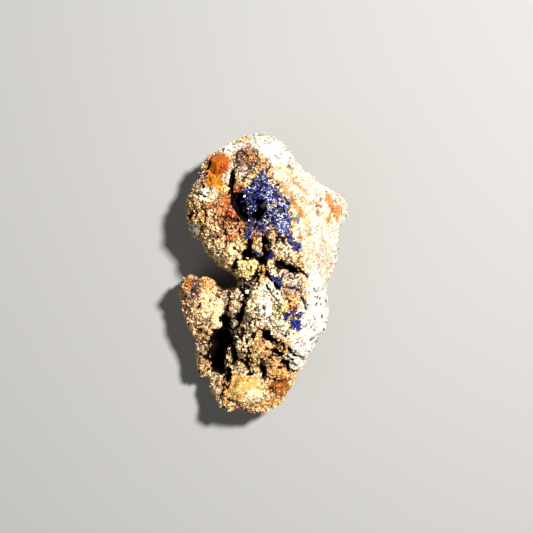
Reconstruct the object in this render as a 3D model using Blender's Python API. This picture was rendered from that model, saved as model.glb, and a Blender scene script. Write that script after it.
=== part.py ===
"""An azurite specimen: one piece of iron-stained gossan with azurite crystals on its face.

It is a loose hand specimen, too narrow at its lower end to stand, so it lies on its broken back.
Metres, +Z up. +Y runs along the stone to its rounded crown, +X across it, and the crystal face
looks up. The origin is under the middle of the stone, on the surface that it lies on.
"""

import math
import random

import bmesh
import bpy
from mathutils import Euler, Matrix, Vector, noise
from mathutils.bvhtree import BVHTree

MM = 0.001

# Driving dimensions, in millimetres. The finished stone is fitted to the first three.
WIDTH = 55.0
LENGTH = 90.0
HEIGHT = 37.5
RIM_HEIGHT = 15.0
BACK_DEPTH = -5.0
CRYSTAL_GAP = 0.34

# The outline of the main mass at its widest ring, clockwise from the crown.
MAIN_OUTLINE = [
    (-1, 44.8), (0.8, 44.4), (3.7, 43.4), (6.6, 42.6), (8.2, 40.5), (9.8, 38.6), (11, 36.6),
    (12.1, 34.7), (14, 32.7), (17.6, 30.9), (19.4, 28.9), (23.7, 27), (26, 25), (27, 21.1),
    (26.6, 17.9), (25.3, 15.3), (24.1, 12.1), (24, 7.6), (23.4, 3.7), (21.8, 1.1), (22.3, -0.8),
    (21.2, -2.7), (20.9, -8.5), (20.6, -13.7), (19.9, -17.6), (18.2, -19.8), (16.4, -23.4),
    (14.4, -27.3), (11.6, -31.1), (9.1, -35), (8.3, -37), (6.7, -40.6), (4.5, -42.7), (-0.2, -44.5),
    (-3.1, -44.8), (-7.6, -43.8), (-13.6, -43), (-14.6, -40.6), (-14, -36), (-12, -32), (-10, -28),
    (-9.3, -22), (-8.6, -16), (-8, -10), (-7.6, -5), (-7.8, -2), (-9.4, -0.2), (-13, 1.8),
    (-15.2, 3.7), (-17.2, 5.8), (-18.2, 8.2), (-19.1, 11.2), (-22.9, 13.2), (-23.6, 15.6),
    (-24.2, 18.5), (-23.7, 21.5), (-22.6, 25), (-22.4, 29), (-21.3, 32.7), (-19.5, 34.8),
    (-17.9, 36.8), (-15.8, 39), (-13.4, 40.8), (-8.2, 42.6), (-4, 44.3),
]
# The crest that the main mass swells to: (x, y, height).
MAIN_CREST = [
    (0, 35, 32), (8.5, 25, 34.5), (12, 9, 35.5), (11.5, -8, 33.5), (9.5, -20, 30), (3, -30, 24),
    (-3, -38, 22),
]

# The side lobe, which a notch parts from the main mass.
LOBE_OUTLINE = [
    (-24.7, 0.2), (-22.6, -0.8), (-20.4, -2.3), (-19.4, -1.8), (-17.2, -1.1), (-16.3, -3.4),
    (-15, -4.7), (-11.5, -5.1), (-7, -5.4), (-6, -12), (-9, -17), (-14, -19.5), (-17, -22),
    (-17.2, -27), (-17.6, -31.8), (-19, -33.6), (-21.2, -33.2), (-21.4, -31), (-20.9, -29.2),
    (-21.8, -27.3), (-21.1, -25.3), (-22.1, -23.4), (-21, -21), (-21.9, -19.5), (-23.2, -17.6),
    (-24.1, -15.6), (-25, -13), (-25.5, -10), (-26.2, -7.9), (-27.6, -6), (-27.4, -4), (-26.4, -2),
]
LOBE_CREST = [(-23, -4, 20), (-17, -9, 22), (-18, -17, 20), (-19.5, -31, 16)]
LOBE_RIM_HEIGHT = 13.0
LOBE_BACK = 2.0

MOUND_RINGS = 8
MOUND_END = math.radians(85)
MOUND_FULLNESS = 0.72

# Lumps that stand out of the masses: name, centre, radii along its own axes, turn in degrees.
LUMPS = [
    ("crown", (0, 36, 22), (8, 6.5, 12.5), 0),
    ("left_knob", (-15, 33.5, 14), (5.5, 6.5, 13), -10),
    ("left_rim", (-20.2, 20, 14), (3.8, 8, 12.5), 8),
    ("rust_bulge", (-13.5, 19.5, 17), (8.5, 9, 15), 20),
    ("ochre_chin", (-12, 8.4, 16), (8, 5.2, 12), -34),
    ("ball", (-5.4, 1.8, 23), (4.1, 3.6, 7), 0),
    ("upper_ridge", (9.5, 25, 22), (6.5, 9.5, 15.5), 35),
    ("right_corner", (20, 20, 17), (6.5, 6, 9), 20),
    ("tan_lump", (6.7, 7.8, 27), (3.4, 6.4, 8.5), 45),
    ("crevice_knob", (-2.6, 10.3, 24), (1.9, 2.7, 7), 0),
    ("middle_ridge", (14.5, 8, 21), (5, 11, 16), 10),
    ("middle_lump", (3.1, 0.9, 25), (2.2, 4.2, 7), 38),
    ("crossed_slab", (9.2, -2.4, 23), (3.8, 5.5, 8), 42),
    ("pale_field", (1, -9.5, 18), (7.2, 8.5, 12.5), -6),
    ("right_slab", (12.6, -13, 18), (5.2, 14, 16), -10),
    ("left_slope", (-9, -10, 16), (2, 6, 8.5), 0),
    ("side_lobe", (-18.3, -10.5, 13), (6.5, 7.5, 10.5), 0),
    ("horn", (-24.1, -3.8, 13), (3.2, 4, 9.5), -25),
    ("horn_knob", (-18.1, -3.2, 13), (2.3, 2.4, 8), 0),
    ("tail", (-19.6, -26, 10), (1.9, 7.5, 9), 3),
    ("cavity_floor", (-13.6, -23.5, 4), (7, 9.8, 5.2), 0),
    ("rib", (-11.6, -27, 10), (1.2, 6.2, 10), 5),
    ("strip", (-15.2, -36, 8), (1.8, 5.5, 8), 2),
    ("lower_field", (-3.5, -23.5, 15), (6.5, 7.5, 12.5), 12),
    ("low_slab", (4, -30, 15), (6.5, 3.2, 12), -32),
    ("foot", (-3.5, -38.5, 13), (9.5, 5.5, 13), 0),
]

# Flat fracture faces: a point on the plane, and the way it faces.
FRACTURES = [
    ("orange_facet", (-14, 35.5, 25.2), (-0.42, 0.45, 0.79)),
    ("left_end", (-14.5, 39.5, 21), (-0.42, 0.86, 0.30)),
    ("crown_slope", (9.5, 38.5, 25.5), (0.66, 0.56, 0.50)),
    ("crown_top", (0, 41, 29.5), (0.10, 0.50, 0.86)),
    ("corner_face", (26, 21, 19.5), (0.88, 0.10, 0.46)),
    ("ridge_face", (18, 22, 31), (0.66, 0.30, 0.69)),
    ("shoulder_face", (20, 6, 30.5), (0.70, -0.12, 0.70)),
    ("flank", (19, -10, 26.5), (0.76, -0.05, 0.65)),
    ("flank_end", (14, -25, 25.5), (0.74, -0.42, 0.53)),
    ("foot_end", (2, -42, 20), (0.28, -0.83, 0.48)),
    ("foot_right", (6, -38, 22), (0.62, -0.34, 0.71)),
    ("left_side", (-23.2, 20, 20), (-0.80, 0.25, 0.55)),
    ("left_wall", (-23.4, 21, 13), (-0.82, 0.25, -0.51)),
    ("right_wall", (20.8, -9, 12), (0.85, -0.25, -0.46)),
    ("corner_wall", (20.9, 30.8, 13), (0.50, 0.70, -0.51)),
    ("top_wall", (-6, 43, 12), (-0.28, 0.87, -0.40)),
    ("foot_wall", (-2, -43.8, 12), (-0.10, -0.86, -0.50)),
]
# What the broken faces keep of the surface relief.
FACE_RELIEF = 0.35

# Hollows dug into the face: runs of (x, y, radius, depth) below the face.
HOLLOWS = {
    "knob_crack": [(-8, 40.5, 0.9, 3), (-8.6, 36.5, 1, 4), (-9.5, 33, 1.1, 4), (-9.5, 30, 1.1, 4),
                   (-10.7, 26.5, 0.9, 2.5)],
    "left_crack": [(-19.4, 23, 0.8, 3), (-18.5, 18.5, 1, 4), (-18, 14.2, 0.8, 3)],
    "chin_split": [(-13.2, 8, 0.8, 2), (-9, 5.2, 0.9, 2.5)],
    "crevice": [(0.5, 11.2, 1.4, 4.5), (0.7, 8.6, 1.5, 6), (0.9, 6.2, 2.2, 7), (3.2, 5.8, 1.3, 4)],
    "chin_crack": [(-6, 6.2, 1.3, 4.5), (-3.4, 5.6, 1.6, 6), (-1.2, 4.6, 1.4, 5),
                   (-0.6, 2.4, 1, 4), (0.2, -0.4, 0.9, 3.5), (1.6, -2.8, 0.9, 3)],
    "ball_crack": [(-10.4, 3.6, 0.9, 3), (-7.8, 5.3, 1, 4), (-6, 6, 1, 4)],
    "recess": [(5.2, 3.7, 1.4, 4), (7.2, 2.8, 1.9, 7), (9.6, 1.5, 1.7, 6.5), (12, 0.5, 1.2, 4.5),
               (13.3, -1.4, 1, 3.5), (13.4, -3.2, 0.8, 2.5)],
    "under_ball": [(-8.6, -2, 1.1, 4), (-5, -3.2, 1.3, 4), (-1.8, -2.8, 1.2, 4)],
    "field_edge": [(-3.6, -4.6, 1.4, 4), (-5.5, -8.3, 1.3, 4.5), (-6.4, -11.4, 1.5, 6),
                   (-6.4, -15, 1.4, 5.5)],
    "lobe_slot": [(-10, -6, 1.2, 4), (-11.4, -10, 1.2, 4.5), (-12.2, -14.5, 1.3, 5)],
    "side_hollow": [(-12.8, -17, 1.5, 8), (-13.6, -20, 2, 9)],
    "rib_gap": [(-9.8, -19.5, 1, 5), (-9.7, -24, 1.1, 5), (-9.4, -27.5, 1.1, 5), (-8.6, -31, 1, 4)],
    "strip_groove": [(-13.2, -33, 1, 6), (-13.4, -37, 0.9, 5), (-13.8, -40.8, 0.8, 4)],
    "tail_break": [(-22.4, -18.4, 0.8, 3), (-17.5, -19.4, 0.8, 3)],
    "upper_ledge": [(-1.2, -18.2, 1, 3), (1.4, -20.4, 1.6, 5), (4, -22.2, 1.9, 5.5),
                    (7.7, -24.5, 1.6, 5), (10.8, -26.8, 1.2, 4)],
    "middle_ledge": [(3, -24.8, 0.9, 2.5), (5.4, -27, 1.8, 4.5), (8, -29.6, 2, 5),
                     (10.6, -31.4, 1.2, 3.5)],
    "lower_ledge": [(-2.6, -30.4, 1, 3), (0.2, -32.7, 1.5, 4.5), (3.8, -34.4, 1.3, 4),
                    (8.6, -35.2, 0.9, 2.5)],
    "field_pit": [(-6.8, -27.4, 1, 3), (-4.6, -28.6, 1.3, 3.5)],
    "ridge_pit": [(17, 21.5, 1.2, 1.6), (16.6, 17.8, 1.3, 1.8)],
}
HOLLOW_STEPS = 4
HOLLOW_VOXEL = 0.6

# The pocket that the azurite crust lines: (x, y, radius x, radius y, depth).
POCKET = [
    (-4.2, 20.6, 3.9, 3.7, 4.8), (-3.4, 25.4, 3.3, 3.2, 2.2), (-0.5, 29.4, 1.7, 3, 1.5),
    (1.4, 25, 3.2, 3.6, 2), (4.4, 21, 4, 4, 2.2), (5.4, 16, 3.3, 4.2, 2), (1, 18, 4, 4, 2.8),
    (-2.8, 15.4, 2.8, 2.2, 2.4),
]
# The pocket's lumps reach this far over the face, and the crust on its floor is this thick.
POCKET_RISE = 0.8
CRUST_THICKNESS = 1.3
CRUST_OPENING = 1.5
CRUST_LIFT = 2.5
POCKET_VOXEL = 0.7
POCKET_TRIANGLES = 400

# How finely the rock is meshed, and its surface relief as the size and depth of each kind.
MATRIX_VOXEL = 0.95
MATRIX_TRIANGLES = 3900
SWELL_SIZE, SWELL = 11.0, 1.1
NODULE_SIZE, NODULE = 3.6, 1.1
GRIT_SIZE, GRIT = 1.9, 0.4

# The azurite crust: tablets on a jittered grid within this outline.
CRUST_OUTLINE = [
    (-0.4, 31.4), (0.8, 28.6), (2.4, 26.6), (4.8, 24), (7, 21.2), (7.8, 18.8), (7.4, 16.4),
    (7.2, 13.6), (5.6, 13), (2.7, 14.4), (0, 14.8), (-3.2, 14.4), (-4.8, 15.8), (-6.4, 17.8),
    (-7, 20), (-6.8, 22.4), (-5.8, 25.2), (-4.8, 27), (-2.6, 28),
]
CRUST_SPACING = 2.5
CRUST_SEED = 11
CRUST_LENGTHS = (3.2, 5.2)
CRUST_WIDTHS = (1.7, 2.6)
CRUST_THICKNESSES = (0.8, 1.2)
CRUST_RISES = (5, 60)
CRUST_LEANS = (-70, 70)
CRUST_SEAT = 0.4
CRUST_JITTER = 0.3

# The smaller groups: blades as (x, y, length, width, thickness, turn, rise, lean). The turn is the
# way the blade points on the face, the rise lifts that end and the lean stands it on its edge.
GROUPS = {
    "azurite_trail": [
        (6.8, 11.4, 3.2, 1.4, 0.8, -55, 8, 30), (8.3, 9.8, 3.0, 1.6, 0.8, -45, 5, 50),
        (9.8, 8.6, 3.8, 1.9, 0.9, -20, 12, 35), (10.2, 8.0, 3.4, 1.7, 0.9, -100, 18, 55),
    ],
    "azurite_left_blade": [(-4.6, 12.2, 4.8, 1.5, 0.8, 58, 8, 25)],
    "azurite_crevice_cluster": [
        (1.5, 6.1, 3.4, 2.0, 1.0, 60, 25, 20), (2.0, 5.8, 3.2, 1.8, 0.9, -35, 15, 40),
        (1.6, 5.5, 2.8, 1.5, 0.9, 15, 40, 60),
    ],
    "azurite_crevice_blade": [(-1.9, 6.3, 3.4, 1.2, 0.8, -45, 10, 25)],
    "azurite_long_blade": [(3.8, -2.0, 6.0, 1.5, 0.8, -48, -5, 20)],
    "azurite_crossed_blades": [
        (6.2, -1.0, 3.6, 1.2, 0.8, 66, 8, 20), (6.7, -1.4, 3.4, 1.1, 0.8, 20, 8, 30),
    ],
    "azurite_small_blade": [(9.2, -4.3, 3.4, 1.2, 0.8, 4, 5, 25)],
    "azurite_lower_spray": [
        (8.0, -13.0, 4.6, 1.4, 0.8, 45, 8, 30), (9.0, -12.2, 3.6, 1.2, 0.8, 72, 12, 50),
        (8.8, -12.6, 3.8, 1.2, 0.8, 20, 10, 25),
    ],
    "azurite_lower_cluster": [
        (9.7, -15.4, 3.4, 1.8, 0.9, 30, 12, 25), (10.7, -15.8, 3.6, 1.9, 0.9, -50, 16, 40),
        (10.3, -16.5, 3.2, 1.7, 0.9, 105, 12, 50),
    ],
}
# How far along a blade's half length its point begins, and how much its bevel leaves.
BLADE_POINT = 0.30
BLADE_BEVEL = 0.80
BLADE_SEAT = 0.3


def mm(x, y, z=0.0):
    return Vector((x, y, z)) * MM


def new_object(name, mesh):
    obj = bpy.data.objects.new(name, mesh)
    bpy.context.scene.collection.objects.link(obj)
    return obj


def mesh_from(bm, name):
    mesh = bpy.data.meshes.new(name)
    bm.to_mesh(mesh)
    bm.free()
    return mesh


def applied(obj):
    """Puts the object's modifiers into its mesh, so that the next step starts from a plain one."""
    bpy.context.view_layer.update()
    graph = bpy.context.evaluated_depsgraph_get()
    mesh = bpy.data.meshes.new_from_object(obj.evaluated_get(graph))
    obj.modifiers.clear()
    obj.data = mesh
    return obj


def fused(name, bm, voxel):
    """One skin round everything in bm: shapes that overlap grow together."""
    obj = new_object(name, mesh_from(bm, name))
    remesh = obj.modifiers.new("fuse", "REMESH")
    remesh.mode = "VOXEL"
    remesh.voxel_size = voxel * MM
    return applied(obj)


def combined(obj, other, operation, crossing=False):
    """A Boolean of obj with other, after which the other is gone."""
    boolean = obj.modifiers.new("combine", "BOOLEAN")
    boolean.operation = operation
    boolean.solver = "EXACT"
    boolean.use_self = crossing
    boolean.object = other
    applied(obj)
    bpy.data.objects.remove(other)
    return obj


def keep_largest_body(obj):
    """Drops the crumbs that a cut leaves loose."""
    bm = bmesh.new()
    bm.from_mesh(obj.data)
    unseen = set(bm.verts)
    bodies = []
    while unseen:
        start = unseen.pop()
        body = {start}
        front = [start]
        while front:
            vert = front.pop()
            near = {edge.other_vert(vert) for edge in vert.link_edges} & unseen
            unseen -= near
            body |= near
            front.extend(near)
        bodies.append(body)
    largest = max(bodies, key=len)
    crumbs = [vert for body in bodies if body is not largest for vert in body]
    bmesh.ops.delete(bm, geom=crumbs)
    bm.to_mesh(obj.data)
    bm.free()
    return obj


def foot_on(crest, x, y):
    """The point of the crest line nearest to (x, y), with its height."""
    best = None
    for (ax, ay, az), (bx, by, bz) in zip(crest, crest[1:]):
        run = (bx - ax) ** 2 + (by - ay) ** 2
        share = max(0.0, min(1.0, ((x - ax) * (bx - ax) + (y - ay) * (by - ay)) / run))
        foot = (ax + share * (bx - ax), ay + share * (by - ay), az + share * (bz - az))
        away = math.hypot(x - foot[0], y - foot[1])
        if best is None or away < best[0]:
            best = (away, foot)
    return best[1]


def add_mound(bm, outline, crest, rim, back):
    """A closed form whose widest ring is the outline. Ring by ring its points close in on the
    crest line and rise to the crest's height on the face, or sink to the back."""
    rings = []
    for step in range(MOUND_RINGS + 1):
        angle = MOUND_END * (2 * step / MOUND_RINGS - 1)
        share = math.cos(angle) ** MOUND_FULLNESS
        ring = []
        for x, y in outline:
            cx, cy, height = foot_on(crest, x, y)
            rise = (height - rim) if angle > 0 else (rim - back)
            spot = mm(cx + share * (x - cx), cy + share * (y - cy), rim + rise * math.sin(angle))
            ring.append(bm.verts.new(spot))
        rings.append(ring)
    for lower, upper in zip(rings, rings[1:]):
        for i in range(len(outline)):
            bm.faces.new((lower[i - 1], lower[i], upper[i], upper[i - 1]))
    bm.faces.new(rings[0])
    bm.faces.new(rings[-1])


def add_ellipsoid(bm, centre, radii, turn=0.0, detail=3):
    place = Matrix.Translation(mm(*centre)) @ Matrix.Rotation(math.radians(turn), 4, "Z")
    scale = Matrix.Diagonal(mm(*radii).to_4d())
    scale[3][3] = 1
    bmesh.ops.create_icosphere(bm, subdivisions=detail, radius=1, matrix=place @ scale)


def face_heights(obj):
    """A function that gives the point and normal of the object's face over (x, y) in millimetres,
    or of the skin nearest to the rim where there is no stone under (x, y)."""
    tree = BVHTree.FromObject(obj, bpy.context.evaluated_depsgraph_get())

    def over(x, y):
        point, normal, _, _ = tree.ray_cast(mm(x, y, 100), Vector((0, 0, -1)))
        if point is None:
            point, normal, _, _ = tree.find_nearest(mm(x, y, RIM_HEIGHT))
        return point / MM, normal

    return over


def cut_flat(bm, point, facing):
    """Takes off what stands past the plane and closes the cut with a flat face."""
    everything = bm.verts[:] + bm.edges[:] + bm.faces[:]
    cut = bmesh.ops.bisect_plane(
        bm, geom=everything, dist=1e-7, plane_co=point, plane_no=facing, clear_outer=True
    )
    rim = [item for item in cut["geom_cut"] if isinstance(item, bmesh.types.BMEdge)]
    bmesh.ops.holes_fill(bm, edges=rim)


def split_faces(obj, relief):
    """Cuts the fracture planes, each of them moved out by the relief that it is to keep."""
    bm = bmesh.new()
    bm.from_mesh(obj.data)
    for _, point, facing in FRACTURES:
        outward = Vector(facing).normalized()
        cut_flat(bm, mm(*point) + outward * relief * MM, outward)
    bm.to_mesh(obj.data)
    bm.free()
    return obj


def rest_flat(obj):
    """The broken back, cut to the plane that the stone lies on."""
    bm = bmesh.new()
    bm.from_mesh(obj.data)
    cut_flat(bm, mm(0, 0), Vector((0, 0, -1)))
    bm.to_mesh(obj.data)
    bm.free()
    return obj


def fitted(obj):
    """Brings the box of the stone to the driving sizes and centres it over the origin."""
    spots = [vert.co for vert in obj.data.vertices]
    low = Vector(min(spot[axis] for spot in spots) for axis in range(3))
    high = Vector(max(spot[axis] for spot in spots) for axis in range(3))
    size = mm(WIDTH, LENGTH, HEIGHT)
    for vert in obj.data.vertices:
        share = [(vert.co[axis] - low[axis]) / (high[axis] - low[axis]) for axis in range(3)]
        vert.co = (size.x * (share[0] - 0.5), size.y * (share[1] - 0.5), size.z * share[2])
    return obj


def hollow_cutter(over):
    """Every hollow as one closed form: balls run along its points and sink to its depth."""
    bm = bmesh.new()
    for run in HOLLOWS.values():
        for start, end in zip(run, run[1:]):
            for step in range(HOLLOW_STEPS + 1):
                share = step / HOLLOW_STEPS
                x, y, radius, depth = (a + share * (b - a) for a, b in zip(start, end))
                top = over(x, y)[0].z
                add_ellipsoid(bm, (x, y, top), (radius, radius, depth), detail=2)
    return fused("hollow_cutter", bm, HOLLOW_VOXEL)


def roughen(obj):
    """Moves the skin in and out: long swells, rounded nodules and grit."""
    bm = bmesh.new()
    bm.from_mesh(obj.data)
    bm.normal_update()
    moves = []
    for vert in bm.verts:
        spot = vert.co / MM
        swell = noise.fractal(spot / SWELL_SIZE, 1.0, 2.0, 3)
        nodule = 0.5 - noise.voronoi(spot / NODULE_SIZE)[0][0]
        grit = noise.noise(spot / GRIT_SIZE)
        moves.append(vert.normal * MM * (SWELL * swell + NODULE * nodule + GRIT * grit))
    for vert, move in zip(bm.verts, moves):
        vert.co += move
    bm.to_mesh(obj.data)
    bm.free()
    return obj


def thinned(obj, triangles):
    triangulate = obj.modifiers.new("triangles", "TRIANGULATE")
    triangulate.quad_method = "SHORTEST_DIAGONAL"
    applied(obj)
    collapse = obj.modifiers.new("thin", "DECIMATE")
    collapse.ratio = min(1.0, triangles / len(obj.data.polygons))
    return applied(obj)


def build_matrix():
    """The host rock, one piece: two masses and their lumps, hollowed and split flat in places."""
    bm = bmesh.new()
    add_mound(bm, MAIN_OUTLINE, MAIN_CREST, RIM_HEIGHT, BACK_DEPTH)
    add_mound(bm, LOBE_OUTLINE, LOBE_CREST, LOBE_RIM_HEIGHT, LOBE_BACK)
    for _, centre, radii, turn in LUMPS:
        add_ellipsoid(bm, centre, radii, turn, detail=2)
    bmesh.ops.recalc_face_normals(bm, faces=bm.faces)
    matrix = split_faces(fused("matrix", bm, MATRIX_VOXEL), 0)
    combined(matrix, hollow_cutter(face_heights(matrix)), "DIFFERENCE")
    again = matrix.modifiers.new("even", "REMESH")
    again.mode = "VOXEL"
    again.voxel_size = MATRIX_VOXEL * MM
    soften = matrix.modifiers.new("soften", "SMOOTH")
    soften.iterations = 2
    roughen(applied(matrix))
    return fitted(rest_flat(thinned(split_faces(matrix, FACE_RELIEF), MATRIX_TRIANGLES)))


def add_tablet(bm, centre, axes, size, grow=0.0):
    """A flat six-sided crystal, pointed at both ends and bevelled to its two broad faces. The axes
    are its length, width and thickness directions, and grow thickens it all round."""
    long, wide, thick = (0.5 * edge + grow for edge in size)
    plan = [(1, 0), (BLADE_POINT, 1), (-BLADE_POINT, 1), (-1, 0), (-BLADE_POINT, -1), (BLADE_POINT, -1)]
    rings = []
    for share, level in ((BLADE_BEVEL, -1), (1, -0.2), (1, 0.2), (BLADE_BEVEL, 1)):
        ring = []
        for along, across in plan:
            offset = axes @ Vector((share * along * long, share * across * wide, level * thick))
            ring.append(bm.verts.new((Vector(centre) + offset) * MM))
        rings.append(ring)
    for lower, upper in zip(rings, rings[1:]):
        for i in range(len(plan)):
            bm.faces.new((lower[i - 1], lower[i], upper[i], upper[i - 1]))
    bm.faces.new(reversed(rings[0]))
    bm.faces.new(rings[-1])


def blade_axes(turn, rise, lean):
    angles = Euler((math.radians(lean), -math.radians(rise), math.radians(turn)), "XYZ")
    return angles.to_matrix()


def tablets(name, blades, grow=0.0):
    """The tablets as one object; where they cross they are still separate shells."""
    bm = bmesh.new()
    for centre, axes, size in blades:
        add_tablet(bm, centre, axes, size, grow)
    return new_object(name, mesh_from(bm, name))


def grown_together(obj):
    """Joins shells that cross into one solid by adding the object's own shells up."""
    bm = bmesh.new()
    bmesh.ops.create_cube(bm, size=MM, matrix=Matrix.Translation(mm(0, 0, -100)))
    far = new_object("far", mesh_from(bm, "far"))
    combined(obj, far, "DIFFERENCE", crossing=True)
    return obj


def group_blades(over, group):
    blades = []
    for x, y, long, wide, thick, turn, rise, lean in group:
        z = over(x, y)[0].z + BLADE_SEAT
        blades.append(((x, y, z), blade_axes(turn, rise, lean), (long, wide, thick)))
    return blades


def inside(outline, x, y):
    crossings = 0
    for (ax, ay), (bx, by) in zip(outline, outline[1:] + outline[:1]):
        if (ay > y) != (by > y) and x < ax + (bx - ax) * (y - ay) / (by - ay):
            crossings += 1
    return crossings % 2 == 1


def crust_blades(over):
    """Tablets on a jittered grid, each one standing at its own angle on the crust."""
    chance = random.Random(CRUST_SEED)
    left, right = min(x for x, _ in CRUST_OUTLINE), max(x for x, _ in CRUST_OUTLINE)
    low, high = min(y for _, y in CRUST_OUTLINE), max(y for _, y in CRUST_OUTLINE)
    blades = []
    for row in range(int((high - low) / CRUST_SPACING) + 1):
        for column in range(int((right - left) / CRUST_SPACING) + 1):
            shift = 0.5 * (row % 2) + chance.uniform(-CRUST_JITTER, CRUST_JITTER)
            x = left + CRUST_SPACING * (column + shift)
            y = low + CRUST_SPACING * (row + chance.uniform(-CRUST_JITTER, CRUST_JITTER))
            spans = (CRUST_LENGTHS, CRUST_WIDTHS, CRUST_THICKNESSES)
            size = [chance.uniform(*span) for span in spans]
            turn = chance.uniform(0, 360)
            rise = chance.uniform(*CRUST_RISES)
            lean = chance.uniform(*CRUST_LEANS)
            if inside(CRUST_OUTLINE, x, y):
                spot = (x, y, over(x, y)[0].z + CRUST_SEAT)
                blades.append((spot, blade_axes(turn, rise, lean), size))
    return blades


def pocket_form(name, over, lift=0.0, spread=0.0):
    """The crust's pocket. Lifted and spread, it is the open space over the crust."""
    bm = bmesh.new()
    for x, y, across, along, depth in POCKET:
        top = over(x, y)[0].z + POCKET_RISE
        deep = depth + POCKET_RISE
        if lift:
            deep += lift - CRUST_THICKNESS
        radii = (across + spread, along + spread, deep)
        add_ellipsoid(bm, (x, y, top + lift), radii)
    return fused(name, bm, POCKET_VOXEL)


def shrunk(obj, distance):
    inset = obj.modifiers.new("inset", "DISPLACE")
    inset.strength = -distance * MM
    inset.mid_level = 0
    return applied(obj)


def build_crust(over):
    """The azurite crust and its crystals as one solid, with the tablets that stand on it."""
    crust = shrunk(pocket_form("azurite_druse", over), CRYSTAL_GAP)
    thinned(crust, POCKET_TRIANGLES)
    opening = thinned(pocket_form("opening", over, CRUST_LIFT, CRUST_OPENING), POCKET_TRIANGLES)
    combined(crust, opening, "DIFFERENCE")
    blades = crust_blades(face_heights(crust))
    combined(crust, tablets("blades", blades), "UNION", crossing=True)
    return keep_largest_body(crust), blades


def seat_crystals(matrix, over, blades):
    """Cuts the pocket of the crust and a socket round every blade, a little wider than they are."""
    pocket = thinned(pocket_form("pocket", over), POCKET_TRIANGLES)
    combined(matrix, pocket, "DIFFERENCE")
    combined(matrix, tablets("sockets", blades, CRYSTAL_GAP), "DIFFERENCE", crossing=True)
    return keep_largest_body(matrix)


def principled(name, colour, roughness):
    material = bpy.data.materials.new(name)
    material.use_nodes = True
    shader = material.node_tree.nodes["Principled BSDF"]
    shader.inputs["Base Color"].default_value = (*colour, 1)
    shader.inputs["Roughness"].default_value = roughness
    return material


def main():
    for obj in list(bpy.data.objects):
        bpy.data.objects.remove(obj)
    matrix = build_matrix()
    over = face_heights(matrix)
    crust, blades = build_crust(over)
    crystals = [crust]
    for name, group in GROUPS.items():
        group = group_blades(over, group)
        crystals.append(keep_largest_body(grown_together(tablets(name, group))))
        blades += group
    seat_crystals(matrix, over, blades)
    matrix.data.materials.append(principled("gossan", (0.52, 0.36, 0.18), 0.85))
    for crystal in crystals:
        crystal.data.materials.append(principled(crystal.name, (0.01, 0.03, 0.35), 0.25))


main()
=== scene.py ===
"""An azurite specimen lying on its broken back: iron-stained gossan with a crust of azurite.

Metres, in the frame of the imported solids. The sections give their lengths in millimetres, and
MM brings them to metres. The crystal face looks up, and the crown of the stone is at +Y.
"""

import math

import bpy
import numpy as np
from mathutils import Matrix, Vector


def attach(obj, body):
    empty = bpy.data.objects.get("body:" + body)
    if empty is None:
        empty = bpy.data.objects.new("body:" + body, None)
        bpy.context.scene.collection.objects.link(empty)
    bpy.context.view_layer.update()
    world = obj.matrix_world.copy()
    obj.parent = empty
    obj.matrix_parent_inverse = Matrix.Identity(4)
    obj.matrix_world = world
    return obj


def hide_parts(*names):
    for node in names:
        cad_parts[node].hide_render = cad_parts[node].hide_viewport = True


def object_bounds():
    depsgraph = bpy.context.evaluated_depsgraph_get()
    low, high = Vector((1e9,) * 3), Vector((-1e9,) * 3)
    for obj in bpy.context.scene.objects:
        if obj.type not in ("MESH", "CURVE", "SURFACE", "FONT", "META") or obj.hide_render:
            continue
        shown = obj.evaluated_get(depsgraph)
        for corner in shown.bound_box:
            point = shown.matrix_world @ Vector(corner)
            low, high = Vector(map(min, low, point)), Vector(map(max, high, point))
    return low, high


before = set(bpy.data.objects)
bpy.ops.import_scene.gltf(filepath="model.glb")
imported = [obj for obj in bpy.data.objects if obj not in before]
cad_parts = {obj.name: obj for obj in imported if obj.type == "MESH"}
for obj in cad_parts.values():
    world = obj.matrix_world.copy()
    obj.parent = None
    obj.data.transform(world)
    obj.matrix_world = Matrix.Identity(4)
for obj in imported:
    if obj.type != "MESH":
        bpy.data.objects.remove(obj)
cad_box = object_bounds()
MM = 0.001


# ---------------------------------------------------------------------------------------------
# The host rock: one lump of gossan, the iron-stained, leached cap of an ore vein, made of
# rounded nodules and grit with cracks and small pits. It rests on its broken back, and all else
# grows on it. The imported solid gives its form; what is finer than its facets is added here.

WELD = 0.0005
ROCK_VOXEL = 0.455
# The relief, from broad to fine: the size of its features, and their height or depth.
ROCK_SWELL = (8.0, 0.3)
ROCK_NODULE = (2.3, 0.75)
ROCK_GRAIN = (0.95, 0.45)
ROCK_GRIT = (0.6, 0.12)
ROCK_WALL = (1.8, 1.0)
ROCK_PIT = (2.1, 0.75)
ROCK_PORE = (2.0, 0.45)
ROCK_FISSURE = (5.0, 0.8)
# The heights at which the crystal face, and the cuts in it, begin and are whole, and how much
# higher than it is a surface counts that faces up.
FACE_HEIGHTS = (8.0, 16.0)
CUT_HEIGHTS = (2.0, 8.0)
FACE_LEAN = 6.0
# The lowest that the cuts sink the rock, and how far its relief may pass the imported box.
ROCK_LEAST = 3.0
ROCK_ROOM = (0.8, 1.2, 0.3)

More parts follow.
